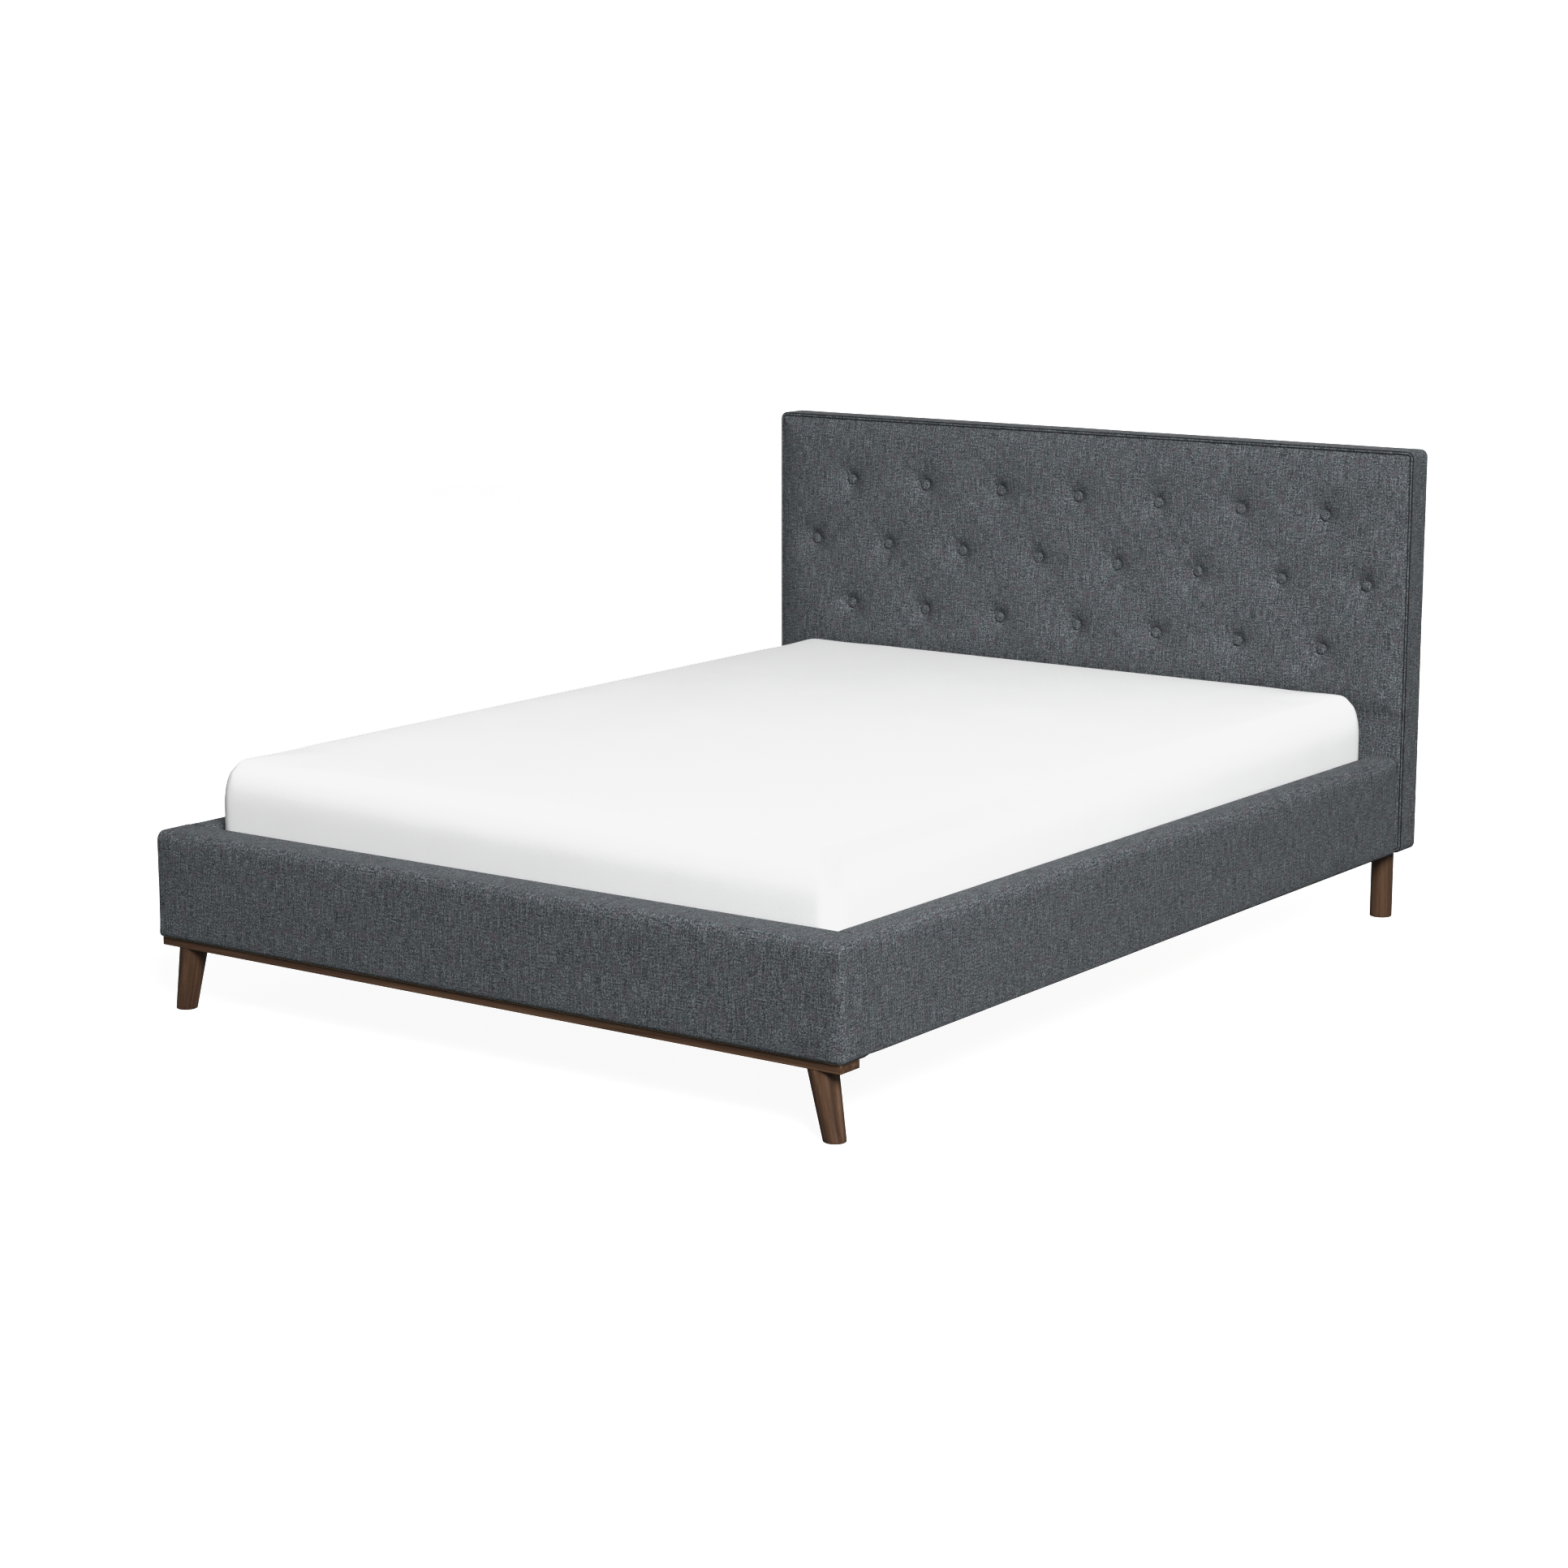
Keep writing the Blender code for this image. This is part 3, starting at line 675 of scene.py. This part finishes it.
def swell_face(points, held, size):
    """Swells the face as cloth on every second grid line, and carries that to the lines between."""
    rows, columns = ([*range(0, count - 1, 2), count - 1] for count in size)
    picked = np.arange(size[0] * size[1]).reshape(size)[np.ix_(rows, columns)]
    quads = grid_quads(*picked.shape)[1]
    sparse = points[picked.ravel()]
    fading = 70 * MM
    most = FACE_SWELL * np.clip((sparse[:, 2] - TUFTED_ABOVE) / fading, 0, 1)
    moved = swell(sparse, quads, held[picked.ravel()], most) - sparse
    moved = moved.reshape(*picked.shape, 3)
    for axis, lines in ((0, rows), (1, columns)):
        every = np.arange(size[axis])
        moved = np.apply_along_axis(lambda line, at=lines: np.interp(every, at, line), axis, moved)
    for axis in (0, 1):
        ahead, behind = np.roll(moved, 1, axis), np.roll(moved, -1, axis)
        moved = np.where(held.reshape(*size, 1), moved, (ahead + behind + 2 * moved) / 4)
    return points + moved.reshape(-1, 3)


def edge_section():
    """(inset, depth) of each ring behind the face: seam groove, boxing, and the border at the back."""
    deep = HEADBOARD_HIGH[1] - HEADBOARD_LOW[1] + BORDER_LIFT
    groove = [(9.0, 3.8), (8.6, 5.6), (7.6, 7.6), (5.3, 8.4), (2.7, 8.0), (1.7, 6.6), (1.4, 4.9)]
    lip = [(1.0, 4.1), (0.5, 4.1), (0.15, 4.8)]
    rings = [(inset * MM, depth * MM) for inset, depth in groove + lip]
    rings += [(0.0, depth) for depth in np.linspace(6.4 * MM, deep - BACK_ROUND, 12)]
    for turn in (22.5, 45, 67.5, 90):
        angle = math.radians(turn)
        rings.append((BACK_ROUND * (1 - math.cos(angle)), deep - BACK_ROUND * (1 - math.sin(angle))))
    rings += [(inset, deep) for inset in np.linspace(9 * MM, BACK_BORDER, 5)]
    return rings


def headboard_upholstery(fabric):
    """The whole cover: tufted face, seam groove, boxing, and the border turned over the back."""
    points, quads, loop, held, size = face_grid()
    points = swell_face(points, held, size)

    x, z = points[loop, 0], points[loop, 2]
    centre_x, centre_z = np.clip(x, -ARC_X, ARC_X), np.clip(z, MIDDLE_Z - ARC_Z, MIDDLE_Z + ARC_Z)
    out_x, out_z = x - centre_x, z - centre_z
    length = np.hypot(out_x, out_z)
    out_x, out_z = out_x / length, out_z / length

    rings, faces = [points], [list(quad) for quad in quads]
    last, total, count = list(loop), len(points), len(loop)
    for inset, depth in edge_section():
        reach = CORNER - inset
        if reach > 0:
            ring_x, ring_z = centre_x + out_x * reach, centre_z + out_z * reach
        else:
            ring_x = np.clip(x, -HEADBOARD_HIGH[0] + inset, HEADBOARD_HIGH[0] - inset)
            ring_z = np.clip(z, HEADBOARD_LOW[2] + inset, HEADBOARD_HIGH[2] - inset)
        ring = np.stack([ring_x, np.full(count, HEADBOARD_LOW[1] + depth), ring_z], 1)
        rings.append(ring)
        this = list(range(total, total + count))
        for k in range(count):
            m = (k + 1) % count
            faces.append([last[m], last[k], this[k], this[m]][::-1])
        last, total = this, total + count
    faces.append(last)
    points = np.concatenate(rings)

    boxing = (points[:, 1] > HEADBOARD_LOW[1] + 8 * MM) & (points[:, 1] < HEADBOARD_HIGH[1] - 1 * MM)
    wave = np.where(boxing, 0.35 * MM * wander(points, 9, 3), 0)
    side = np.abs(points[:, 0]) > HEADBOARD_HIGH[0] - CORNER / 2
    points[:, 0] += np.where(side, np.sign(points[:, 0]) * wave, 0)
    points[:, 2] += np.where(side, 0, wave)

    mesh = mesh_of("headboard_upholstery", points, faces)
    lay_weave(mesh)
    piece = add_piece(
        "headboard_upholstery", mesh, fabric, stands_for=["headboard_cover"]
    )
    return piece


def tube_along(path, normals, radius, sides=10):
    """A closed tube round a closed path that lies in an XZ plane."""
    turns = np.linspace(0, 2 * math.pi, sides, endpoint=False)
    points = np.concatenate(
        [
            path + radius * (math.cos(turn) * normals + math.sin(turn) * np.array([0, -1.0, 0]))
            for turn in turns
        ]
    )
    return points, ring_quads(sides, len(path), closed=True)


def seam_path(inset, depth, seed):
    """A closed line round the face, its points and the way out at each, wandering a little."""
    radius = CORNER - inset
    places, outs = [], []
    corners = ((1, -1, -90), (1, 1, 0), (-1, 1, 90), (-1, -1, 180))
    arc_steps = 8
    for number, (side_x, side_z, start) in enumerate(corners):
        centre = np.array([side_x * ARC_X, 0, MIDDLE_Z + side_z * ARC_Z])
        for k in range(arc_steps + 1):
            turn = math.radians(start + 90 * k / arc_steps)
            out = np.array([math.cos(turn), 0, math.sin(turn)])
            places.append(centre + radius * out)
            outs.append(out)
        ahead = corners[(number + 1) % 4]
        goal = np.array([ahead[0] * ARC_X, 0, MIDDLE_Z + ahead[1] * ARC_Z]) + radius * outs[-1]
        run = goal - places[-1]
        steps = round(float(np.linalg.norm(run)) / (12 * MM))
        begin, out = places[-1], outs[-1]
        for k in range(1, steps):
            places.append(begin + run * k / steps)
            outs.append(out)
    path = np.array(places)
    path[:, 1] = HEADBOARD_LOW[1] + depth + 0.15 * MM * wander(path, 40, seed)
    return path, np.array(outs)


def headboard_welt(fabric, thread):
    """The thin covered cord sewn into the seam round the face, with a row of near-black thread each side
    of it as painted shade in the seam groove.
    """
    points, faces = tube_along(*seam_path(WELT_INSET, WELT_DEPTH, 5), WELT_RADIUS)
    mesh = mesh_of("headboard_welt", points, faces)
    lay_weave(mesh, shift=(0.31, 0.17))
    add_piece("headboard_welt", mesh, fabric, stands_for=["headboard_piping"])

    # The thread rows paint the seam groove's shade: they are near-black and lie in the groove each side
    # of the cord.
    away = WELT_RADIUS + 0.8 * SEAM_SHADOW_RADIUS
    rows = [
        tube_along(*seam_path(WELT_INSET + side * away, WELT_DEPTH + 0.5 * MM, seed), SEAM_SHADOW_RADIUS, 6)
        for side, seed in ((-1, 11), (1, 12))
    ]
    mesh = mesh_of("headboard_seam_shadow_thread", *joined(rows))
    lay_weave(mesh)
    add_piece("headboard_seam_shadow_thread", mesh, thread)


def buttons(fabric):
    """Covered buttons: a domed cap, a tucked rim, and a small tilt of its own to each."""
    draw = random.Random(5)
    sides = 28
    section = [(0.80, 0.0), (0.97, 0.12), (1.0, 0.30), (0.985, 0.48), (0.93, 0.66)]
    section += [(0.82, 0.81), (0.64, 0.91), (0.42, 0.97), (0.20, 1.0)]
    top = (len(section) - 1) * sides
    for number, (node, (x, z), pull) in enumerate(zip(BUTTON_NODES, BUTTON_PLACES, BUTTON_PULLS), 1):
        low, high = box(node)
        radius, tall = (high[0] - low[0]) / 2 + BUTTON_OVERHANG, high[1] - low[1]
        points = [
            (radius * r * math.cos(t), -tall * up, radius * r * math.sin(t))
            for r, up in section
            for t in np.linspace(0, 2 * math.pi, sides, endpoint=False)
        ]
        points += [(0, 0, 0), (0, -tall * 1.005, 0)]
        faces = ring_quads(len(section), sides)
        bottom_point, top_point = len(points) - 2, len(points) - 1
        for k in range(sides):
            m = (k + 1) % sides
            faces.append([bottom_point, m, k])
            faces.append([top + k, top + m, top_point])
        tilt = Euler((draw.uniform(-0.07, 0.07), draw.uniform(-3, 3), draw.uniform(-0.07, 0.07)))
        spin = np.array(tilt.to_matrix())
        depth = min(TUFT_DEPTH * pull - FACE_CROWN, TUFT_DEEPEST)
        seat = np.array([x, HEADBOARD_LOW[1] + depth - 0.3 * MM, z])
        mesh = mesh_of(node, np.array(points) @ spin.T + seat, faces)
        lay_weave(mesh, shift=(draw.uniform(0, 1), draw.uniform(0, 1)))
        add_piece(f"button_{number:02d}", mesh, fabric, stands_for=[node])


def headboard_back(lining, metal):
    """The dust cloth behind: a thin sheet with a folded hem, stapled all round."""
    thick, fold = 0.5 * MM, 0.6 * MM
    inset = BACK_BORDER - CLOTH_UNDER_BORDER
    low_x, high_x = HEADBOARD_LOW[0] + inset, HEADBOARD_HIGH[0] - inset
    low_z, high_z = HEADBOARD_LOW[2] + inset, HEADBOARD_HIGH[2] - inset
    back_y = HEADBOARD_HIGH[1] + CLOTH_LIFT

    def lines(low, high):
        middle = np.linspace(low + 1.15 * HEM, high - 1.15 * HEM, round((high - low) / (12 * MM)))
        return np.concatenate([[low, low + HEM], middle, [high - HEM, high]])

    points, quads = lattice_shell([lines(low_x, high_x), np.array([0.0, thick]), lines(low_z, high_z)])
    from_edge = np.minimum(
        np.minimum(points[:, 0] - low_x, high_x - points[:, 0]),
        np.minimum(points[:, 2] - low_z, high_z - points[:, 2]),
    )
    outer = points[:, 1] > thick / 2
    folded = outer & (from_edge < 1.01 * HEM)
    loose = np.clip(from_edge / (60 * MM) - HEM / (60 * MM), 0, 1)
    sag = 0.5 * MM * (wander(points * np.array([1, 0, 1]), 7, 9) + 0.3) * loose
    points[:, 1] += back_y + np.where(folded, fold, 0) + np.maximum(sag, -0.1 * MM)
    mesh = mesh_of("headboard_dust_cloth", points, quads)
    mesh.set_sharp_from_angle(angle=math.radians(40))
    lay_weave(mesh)
    cloth = add_piece(
        "headboard_dust_cloth", mesh, lining, stands_for=["headboard_back_cloth"]
    )

    from_hem = 7 * MM
    top_y = back_y + thick + fold
    bars = []
    for low, high, level, upright in (
        (low_x, high_x, low_z + from_hem, False),
        (low_x, high_x, high_z - from_hem, False),
        (low_z, high_z, low_x + from_hem, True),
        (low_z, high_z, high_x - from_hem, True),
    ):
        count = round((high - low) / STAPLE_SPACING)
        for k in range(count):
            along = low + (k + 0.5) * (high - low) / count + random.uniform(-3, 3) * MM
            across = level + random.uniform(-1.2, 1.2) * MM
            lean = random.uniform(-0.25, 0.25)
            half = np.array([STAPLE_CROWN / 2, STAPLE_WIRE / 3, STAPLE_WIRE / 2])
            corner = np.full(3, 0.2 * MM)
            bar, bar_faces = rounded_box(-half, half, corner, corner, STAPLE_CROWN, steps=2)
            if upright:
                bar = bar[:, [2, 1, 0]]
                bar_faces = bar_faces[:, ::-1]
            turn = np.array(Euler((0, lean, 0)).to_matrix())
            middle = (across, top_y, along) if upright else (along, top_y, across)
            bars.append((bar @ turn.T + np.array(middle), bar_faces))
    points, faces = joined(bars)
    staples = add_piece("headboard_staples", mesh_of("headboard_staples", points, faces), metal)


# ---- Footboard, rails and mattress ----


def padded_box(name, node, rounding, pitch, most, held_where, material, body="bed_frame"):
    """A soft piece that fills its CAD solid: rounded, swelled as cloth, then smoothed once."""
    low, high = box(node)
    if node.startswith("side_rail"):
        low[1] -= RAIL_TUCK
    round_low, round_high = rounding
    points, quads = rounded_box(low, high, round_low, round_high, pitch)
    held = held_where(points, low, high)
    points = swell(points, quads, held, most(points, low, high))
    mesh = mesh_of(name, points, quads)
    lay_weave(mesh)
    piece = add_piece(name, mesh, material, body, [node])
    smooth = piece.modifiers.new("Smooth", "SUBSURF")
    smooth.levels = smooth.render_levels = 1
    return piece


def footboard(fabric):
    def held_where(points, low, high):
        return points[:, 2] < low[2] + 3 * MM

    def most(points, low, high):
        return np.full(len(points), FOOTBOARD_SWELL)

    name, node = "footboard_upholstery", "footboard_cover"
    rounding = np.array([14, 17, 14]) * MM, np.array([14, 7, 24]) * MM
    padded_box(name, node, rounding, 15 * MM, most, held_where, fabric)


def side_rails(fabric):
    for side in SIDES:
        outer = 1 if side == "right" else -1

        def held_where(points, low, high):
            return (points[:, 2] < low[2] + 3 * MM) | (points[:, 1] > high[1] - 1 * MM)

        def most(points, low, high, outer=outer):
            from_outside = outer * (points[:, 0] - (low[0] if outer < 0 else high[0]))
            outside = np.clip(1 + from_outside / (40 * MM), 0, 1)
            from_ends = np.minimum(points[:, 1] - low[1], high[1] - points[:, 1])
            return RAIL_SWELL * outside * np.clip(from_ends / (30 * MM), 0.12, 1) + 0.05 * MM

        name, node = f"side_rail_upholstery_{side}", f"side_rail_cover_{side}"
        rounding = np.array([22, 2, 9]) * MM, np.array([22, 2, 24]) * MM
        padded_box(name, node, rounding, 16 * MM, most, held_where, fabric)


def mattress(cover, underside):
    def held_where(points, low, high):
        return points[:, 2] < low[2] + 1 * MM

    def most(points, low, high):
        up = np.clip((points[:, 2] - low[2]) / (high[2] - low[2]), 0, 1)
        side = np.minimum(
            np.minimum(points[:, 0] - low[0], high[0] - points[:, 0]),
            np.minimum(points[:, 1] - low[1], high[1] - points[:, 1]),
        )
        return np.where(side < 20 * MM, 0.8 * MM, MATTRESS_SWELL * up)

    rounding = np.array([42, 44, 34]) * MM, np.array([42, 46, 94]) * MM
    piece = padded_box(
        "mattress_body", "mattress", rounding, 30 * MM, most, held_where, cover, "mattress"
    )
    mesh = piece.data
    mesh.materials.append(underside)
    floor = box("mattress")[0][2] + 4 * MM
    for face in mesh.polygons:
        if face.center.z < floor:
            face.material_index = 1


# ---- Timber and fittings ----


def leg_ends(node):
    """(centre, radius) of a leg's foot and of its top. The foot's ring is drawn in by its chamfer."""
    points = read(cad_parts[node].data.vertices, "co", 3).astype(float)
    ends = []
    for z in (points[:, 2].min(), points[:, 2].max()):
        ring = points[np.abs(points[:, 2] - z) < 0.1 * MM]
        ends.append(((ring.min(0) + ring.max(0)) / 2, (ring.max(0) - ring.min(0))[0] / 2))
    return ends


def turned_leg(name, node, timber):
    """A round tapered leg with a softened foot, its grain along its own axis."""
    sides, foot_chamfer = 72, 2 * MM
    (foot, foot_radius), (top, top_radius) = leg_ends(node)
    foot_radius += foot_chamfer
    tall = top[2] - foot[2]
    turns = [math.radians(angle) for angle in (0, 22.5, 45, 67.5, 90)]
    heights = [FOOT_ROUND * (1 - math.cos(turn)) for turn in turns]
    draws = [FOOT_ROUND * (1 - math.sin(turn)) for turn in turns]
    heights += list(np.linspace(FOOT_ROUND, tall, 16)[1:])
    draws += [0.0] * 15
    points, places = [], []
    for height, draw in zip(heights, draws):
        share = height / tall
        centre = foot + (top - foot) * share
        radius = foot_radius + (top_radius - foot_radius) * share - draw
        for k in range(sides):
            turn = 2 * math.pi * k / sides
            out = np.array([math.cos(turn), math.sin(turn), 0])
            points.append((*(centre + radius * out)[:2], foot[2] + height))
            places.append((*(radius * out)[:2], height))
    faces = turned_faces(len(heights), sides)
    mesh = mesh_of(name, points, faces)
    mesh.set_sharp_from_angle(angle=math.radians(50))
    shift = np.array([0.9 * foot[0], 0.7 * foot[1], 1.3 * foot[0] + 0.4 * foot[1]])
    lay_grain(mesh, np.array(places) + shift)
    add_piece(name, mesh, timber, stands_for=[node])


def board(name, node, timber, along, edge, rebate=0.0):
    """A planed board in the place of a CAD node, with eased edges and its grain along one axis.

    The rebate is how much narrower it is than the node, at the side nearer the bed's head.
    """
    low, high = box(node)
    high[1] -= rebate
    rounding = np.full(3, edge)
    points, quads = rounded_box(low, high, rounding, rounding, BOARD_PITCH, steps=3)
    mesh = mesh_of(name, points, quads)
    mesh.set_sharp_from_angle(angle=math.radians(50))
    middle = (low + high) / 2
    order = [axis for axis in range(3) if axis != along] + [along]
    places = (points - middle)[:, order]
    shift = np.array([3.1 * middle[1] + middle[0], 2.3 * middle[0] + 0.11, 1.7 * middle[1]])
    lay_grain(mesh, places + shift)
    return add_piece(name, mesh, timber, stands_for=[node])


def timber_parts(materials):
    for end in ("front", "rear"):
        for side in SIDES:
            node = f"{end}_leg_{side}"
            turned_leg(f"{node}_turned", node, materials["walnut"])
    plinth = "footboard_plinth"
    board(f"{plinth}_rail", plinth, materials["walnut"], 0, 1.4 * MM, rebate=PLINTH_REBATE)
    for node in SLAT_NODES:
        board(f"{node}_board", node, materials["pine"], 0, 3 * MM)
    for side in SIDES:
        node = f"slat_ledger_{side}"
        board(f"{node}_batten", node, materials["pine"], 1, 2 * MM)
        post = f"headboard_post_{side}"
        board(f"{post}_upright", post, materials["pine"], 2, 2 * MM)
    board("centre_beam_rail", "centre_beam", materials["pine"], 1, 3 * MM)
    for end in ("foot", "head"):
        node = f"centre_leg_{end}"
        board(f"{node}_post", node, materials["pine"], 2, 2.5 * MM)


def screws(metal):
    """Heads of the countersunk screws, two at each end of every slat, above the ledgers."""
    sides = 20
    rings = [(1.0, -0.6), (1.0, 0.15), (0.9, 0.35), (0.42, 0.35), (0.36, -0.5)]
    faces = turned_faces(len(rings), sides)
    parts = []
    for node in SLAT_NODES:
        low, high = box(node)
        for side in SIDES:
            ledger_low, ledger_high = box(f"slat_ledger_{side}")
            x = (ledger_low[0] + ledger_high[0]) / 2
            for share in (0.25, 0.75):
                y = low[1] + share * (high[1] - low[1])
                points = [
                    (
                        x + SCREW_RADIUS * r * math.cos(2 * math.pi * k / sides),
                        y + SCREW_RADIUS * r * math.sin(2 * math.pi * k / sides),
                        high[2] + up * MM,
                    )
                    for r, up in rings
                    for k in range(sides)
                ]
                parts.append((points, faces))
    points, faces = joined(parts)
    mesh = mesh_of("slat_screws", points, faces)
    mesh.set_sharp_from_angle(angle=math.radians(40))
    add_piece("slat_screws", mesh, metal)


def dress_hidden_nodes(materials):
    """Procedural materials on the CAD nodes that keep their own shape."""
    by_start = {
        "headboard_foam": "foam",
        "headboard_panel": "plywood",
        "footboard_core": "plywood",
        "side_rail_core": "plywood",
        "corner_bracket": "steel",
    }
    for name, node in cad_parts.items():
        for start, material in by_start.items():
            if name.startswith(start):
                node.data.materials.clear()
                node.data.materials.append(materials[material])


# ---- Studio ----


def soften_highlights(view):
    """Leaves all but the light tones nearly as they are, and holds those below the backdrop's white."""
    view.use_curve_mapping = True
    mapping = view.curve_mapping
    mapping.white_level = (BRIGHTEST, BRIGHTEST, BRIGHTEST)
    curve = mapping.curves[3]
    for light, shown in ((0.6, 0.585), (0.8, 0.745), (0.88, 0.84), (0.97, 0.896), (1.7, 0.92)):
        curve.points.new(light / BRIGHTEST, shown)
    for point in curve.points[:2]:
        point.handle_type = "VECTOR"
    mapping.update()


def sky(scene):
    """A soft light that fades towards the floor. The camera sees an even white behind the bed."""
    world = bpy.data.worlds.new("studio")
    world.use_nodes = True
    scene.world = world
    tree = world.node_tree
    light = tree.nodes["Background"]
    light.inputs["Color"].default_value = WHITE
    above = tree.nodes.new("ShaderNodeMapRange")
    above.interpolation_type = "SMOOTHSTEP"
    fade = {"From Min": -0.35, "From Max": 0.35, "To Min": SKY_LOW, "To Max": SKY_HIGH}
    for socket, value in fade.items():
        above.inputs[socket].default_value = value
    direction = tree.nodes.new("ShaderNodeSeparateXYZ")
    tree.links.new(tree.nodes.new("ShaderNodeTexCoord").outputs["Generated"], direction.inputs[0])
    tree.links.new(direction.outputs["Z"], above.inputs["Value"])
    tree.links.new(above.outputs[0], light.inputs["Strength"])
    backdrop = tree.nodes.new("ShaderNodeBackground")
    backdrop.inputs["Color"].default_value = WHITE
    backdrop.inputs["Strength"].default_value = 1.1 * BRIGHTEST
    rays = tree.nodes.new("ShaderNodeLightPath")
    either = tree.nodes.new("ShaderNodeMixShader")
    tree.links.new(rays.outputs["Is Camera Ray"], either.inputs[0])
    tree.links.new(light.outputs[0], either.inputs[1])
    tree.links.new(backdrop.outputs[0], either.inputs[2])
    tree.links.new(either.outputs[0], tree.nodes["World Output"].inputs["Surface"])


def lamp(name, place, aim, power, size):
    """A square lamp of that power in watts, turned towards the place that it aims at."""
    data = bpy.data.lights.new(name, "AREA")
    data.energy, data.size = power, size
    made = linked(name, data)
    made.visible_camera = False
    made.location = place
    made.rotation_euler = (aim - place).to_track_quat("-Z", "Y").to_euler()


def lamps():
    bed = Vector((0, 0, 0.4))
    lamp("key", bed + Vector((0.64, -0.56, 0.60)) * 12, bed, power=2480, size=4.4)
    face = Vector((0.2, HEADBOARD_LOW[1], 0.8))
    lamp("head_fill", face + Vector((0.60, -0.55, 0.58)) * 4, face, power=17, size=1.4)
    back = Vector((0, HEADBOARD_HIGH[1], 0.6))
    lamp("rear_fill", Vector((-1.6, HEADBOARD_HIGH[1] + 4.5, 0.9)), back, power=150, size=1.6)


def ground():
    """A pale glowing floor, which shows as white but for the bed's faint shadow."""
    half = FLOOR_HALF
    corners = [(-half, -half, 0), (half, -half, 0), (half, half, 0), (-half, half, 0)]
    floor = linked("floor", mesh_of("floor", corners, [(0, 1, 2, 3)], smooth=False))
    floor.location.z = -0.5 * MM
    n = Nodes("floor", **{"Roughness": 0.8, "Specular IOR Level": 0.1})
    shade = n.spread(n.noise(n.object_place(), (1.5, 1.5, 1.5), 2.0, 0.5, False), 0, 1, 0.36, 0.38)
    n.give(n.shader, {"Base Color": n.joined(shade, shade, shade)})
    n.give(n.shader, {"Emission Color": WHITE, "Emission Strength": 0.9 * BRIGHTEST})
    floor.data.materials.append(n.material)
    floor.visible_diffuse = floor.visible_glossy = False


def studio():
    scene = bpy.context.scene
    scene.view_settings.view_transform = "Standard"
    scene.view_settings.look = "None"
    soften_highlights(scene.view_settings)
    sky(scene)
    lamps()
    ground()

    camera_data = bpy.data.cameras.new("camera")
    camera_data.lens, camera_data.sensor_width = LENS, SENSOR
    camera = linked("camera", camera_data)
    camera.location = CAMERA_PLACE
    camera.rotation_euler = tuple(math.radians(turn) for turn in CAMERA_TURN)
    scene.camera = camera


# ---- The bed ----

materials = {
    "fabric": upholstery_fabric(),
    # Near-black seam thread, laid in the headboard's seam groove as painted shade.
    "thread": seam_shadow_thread(),
    "walnut": walnut(),
    "pine": pine(),
    "plywood": plywood(),
    "foam": foam(),
    "back_cloth": back_cloth(),
    "steel": steel(),
    "mattress": mattress_cover("mattress_cover", (0.755, 0.755, 0.755), (0.785, 0.785, 0.785), 1.7 * MM),
    "underside": mattress_cover("mattress_underside", (0.30, 0.31, 0.32), (0.38, 0.39, 0.40), 2.4 * MM),
}
headboard_upholstery(materials["fabric"])
headboard_welt(materials["fabric"], materials["thread"])
buttons(materials["fabric"])
headboard_back(materials["back_cloth"], materials["steel"])
footboard(materials["fabric"])
side_rails(materials["fabric"])
mattress(materials["mattress"], materials["underside"])
timber_parts(materials)
screws(materials["steel"])
dress_hidden_nodes(materials)
studio()

bpy.context.view_layer.update()
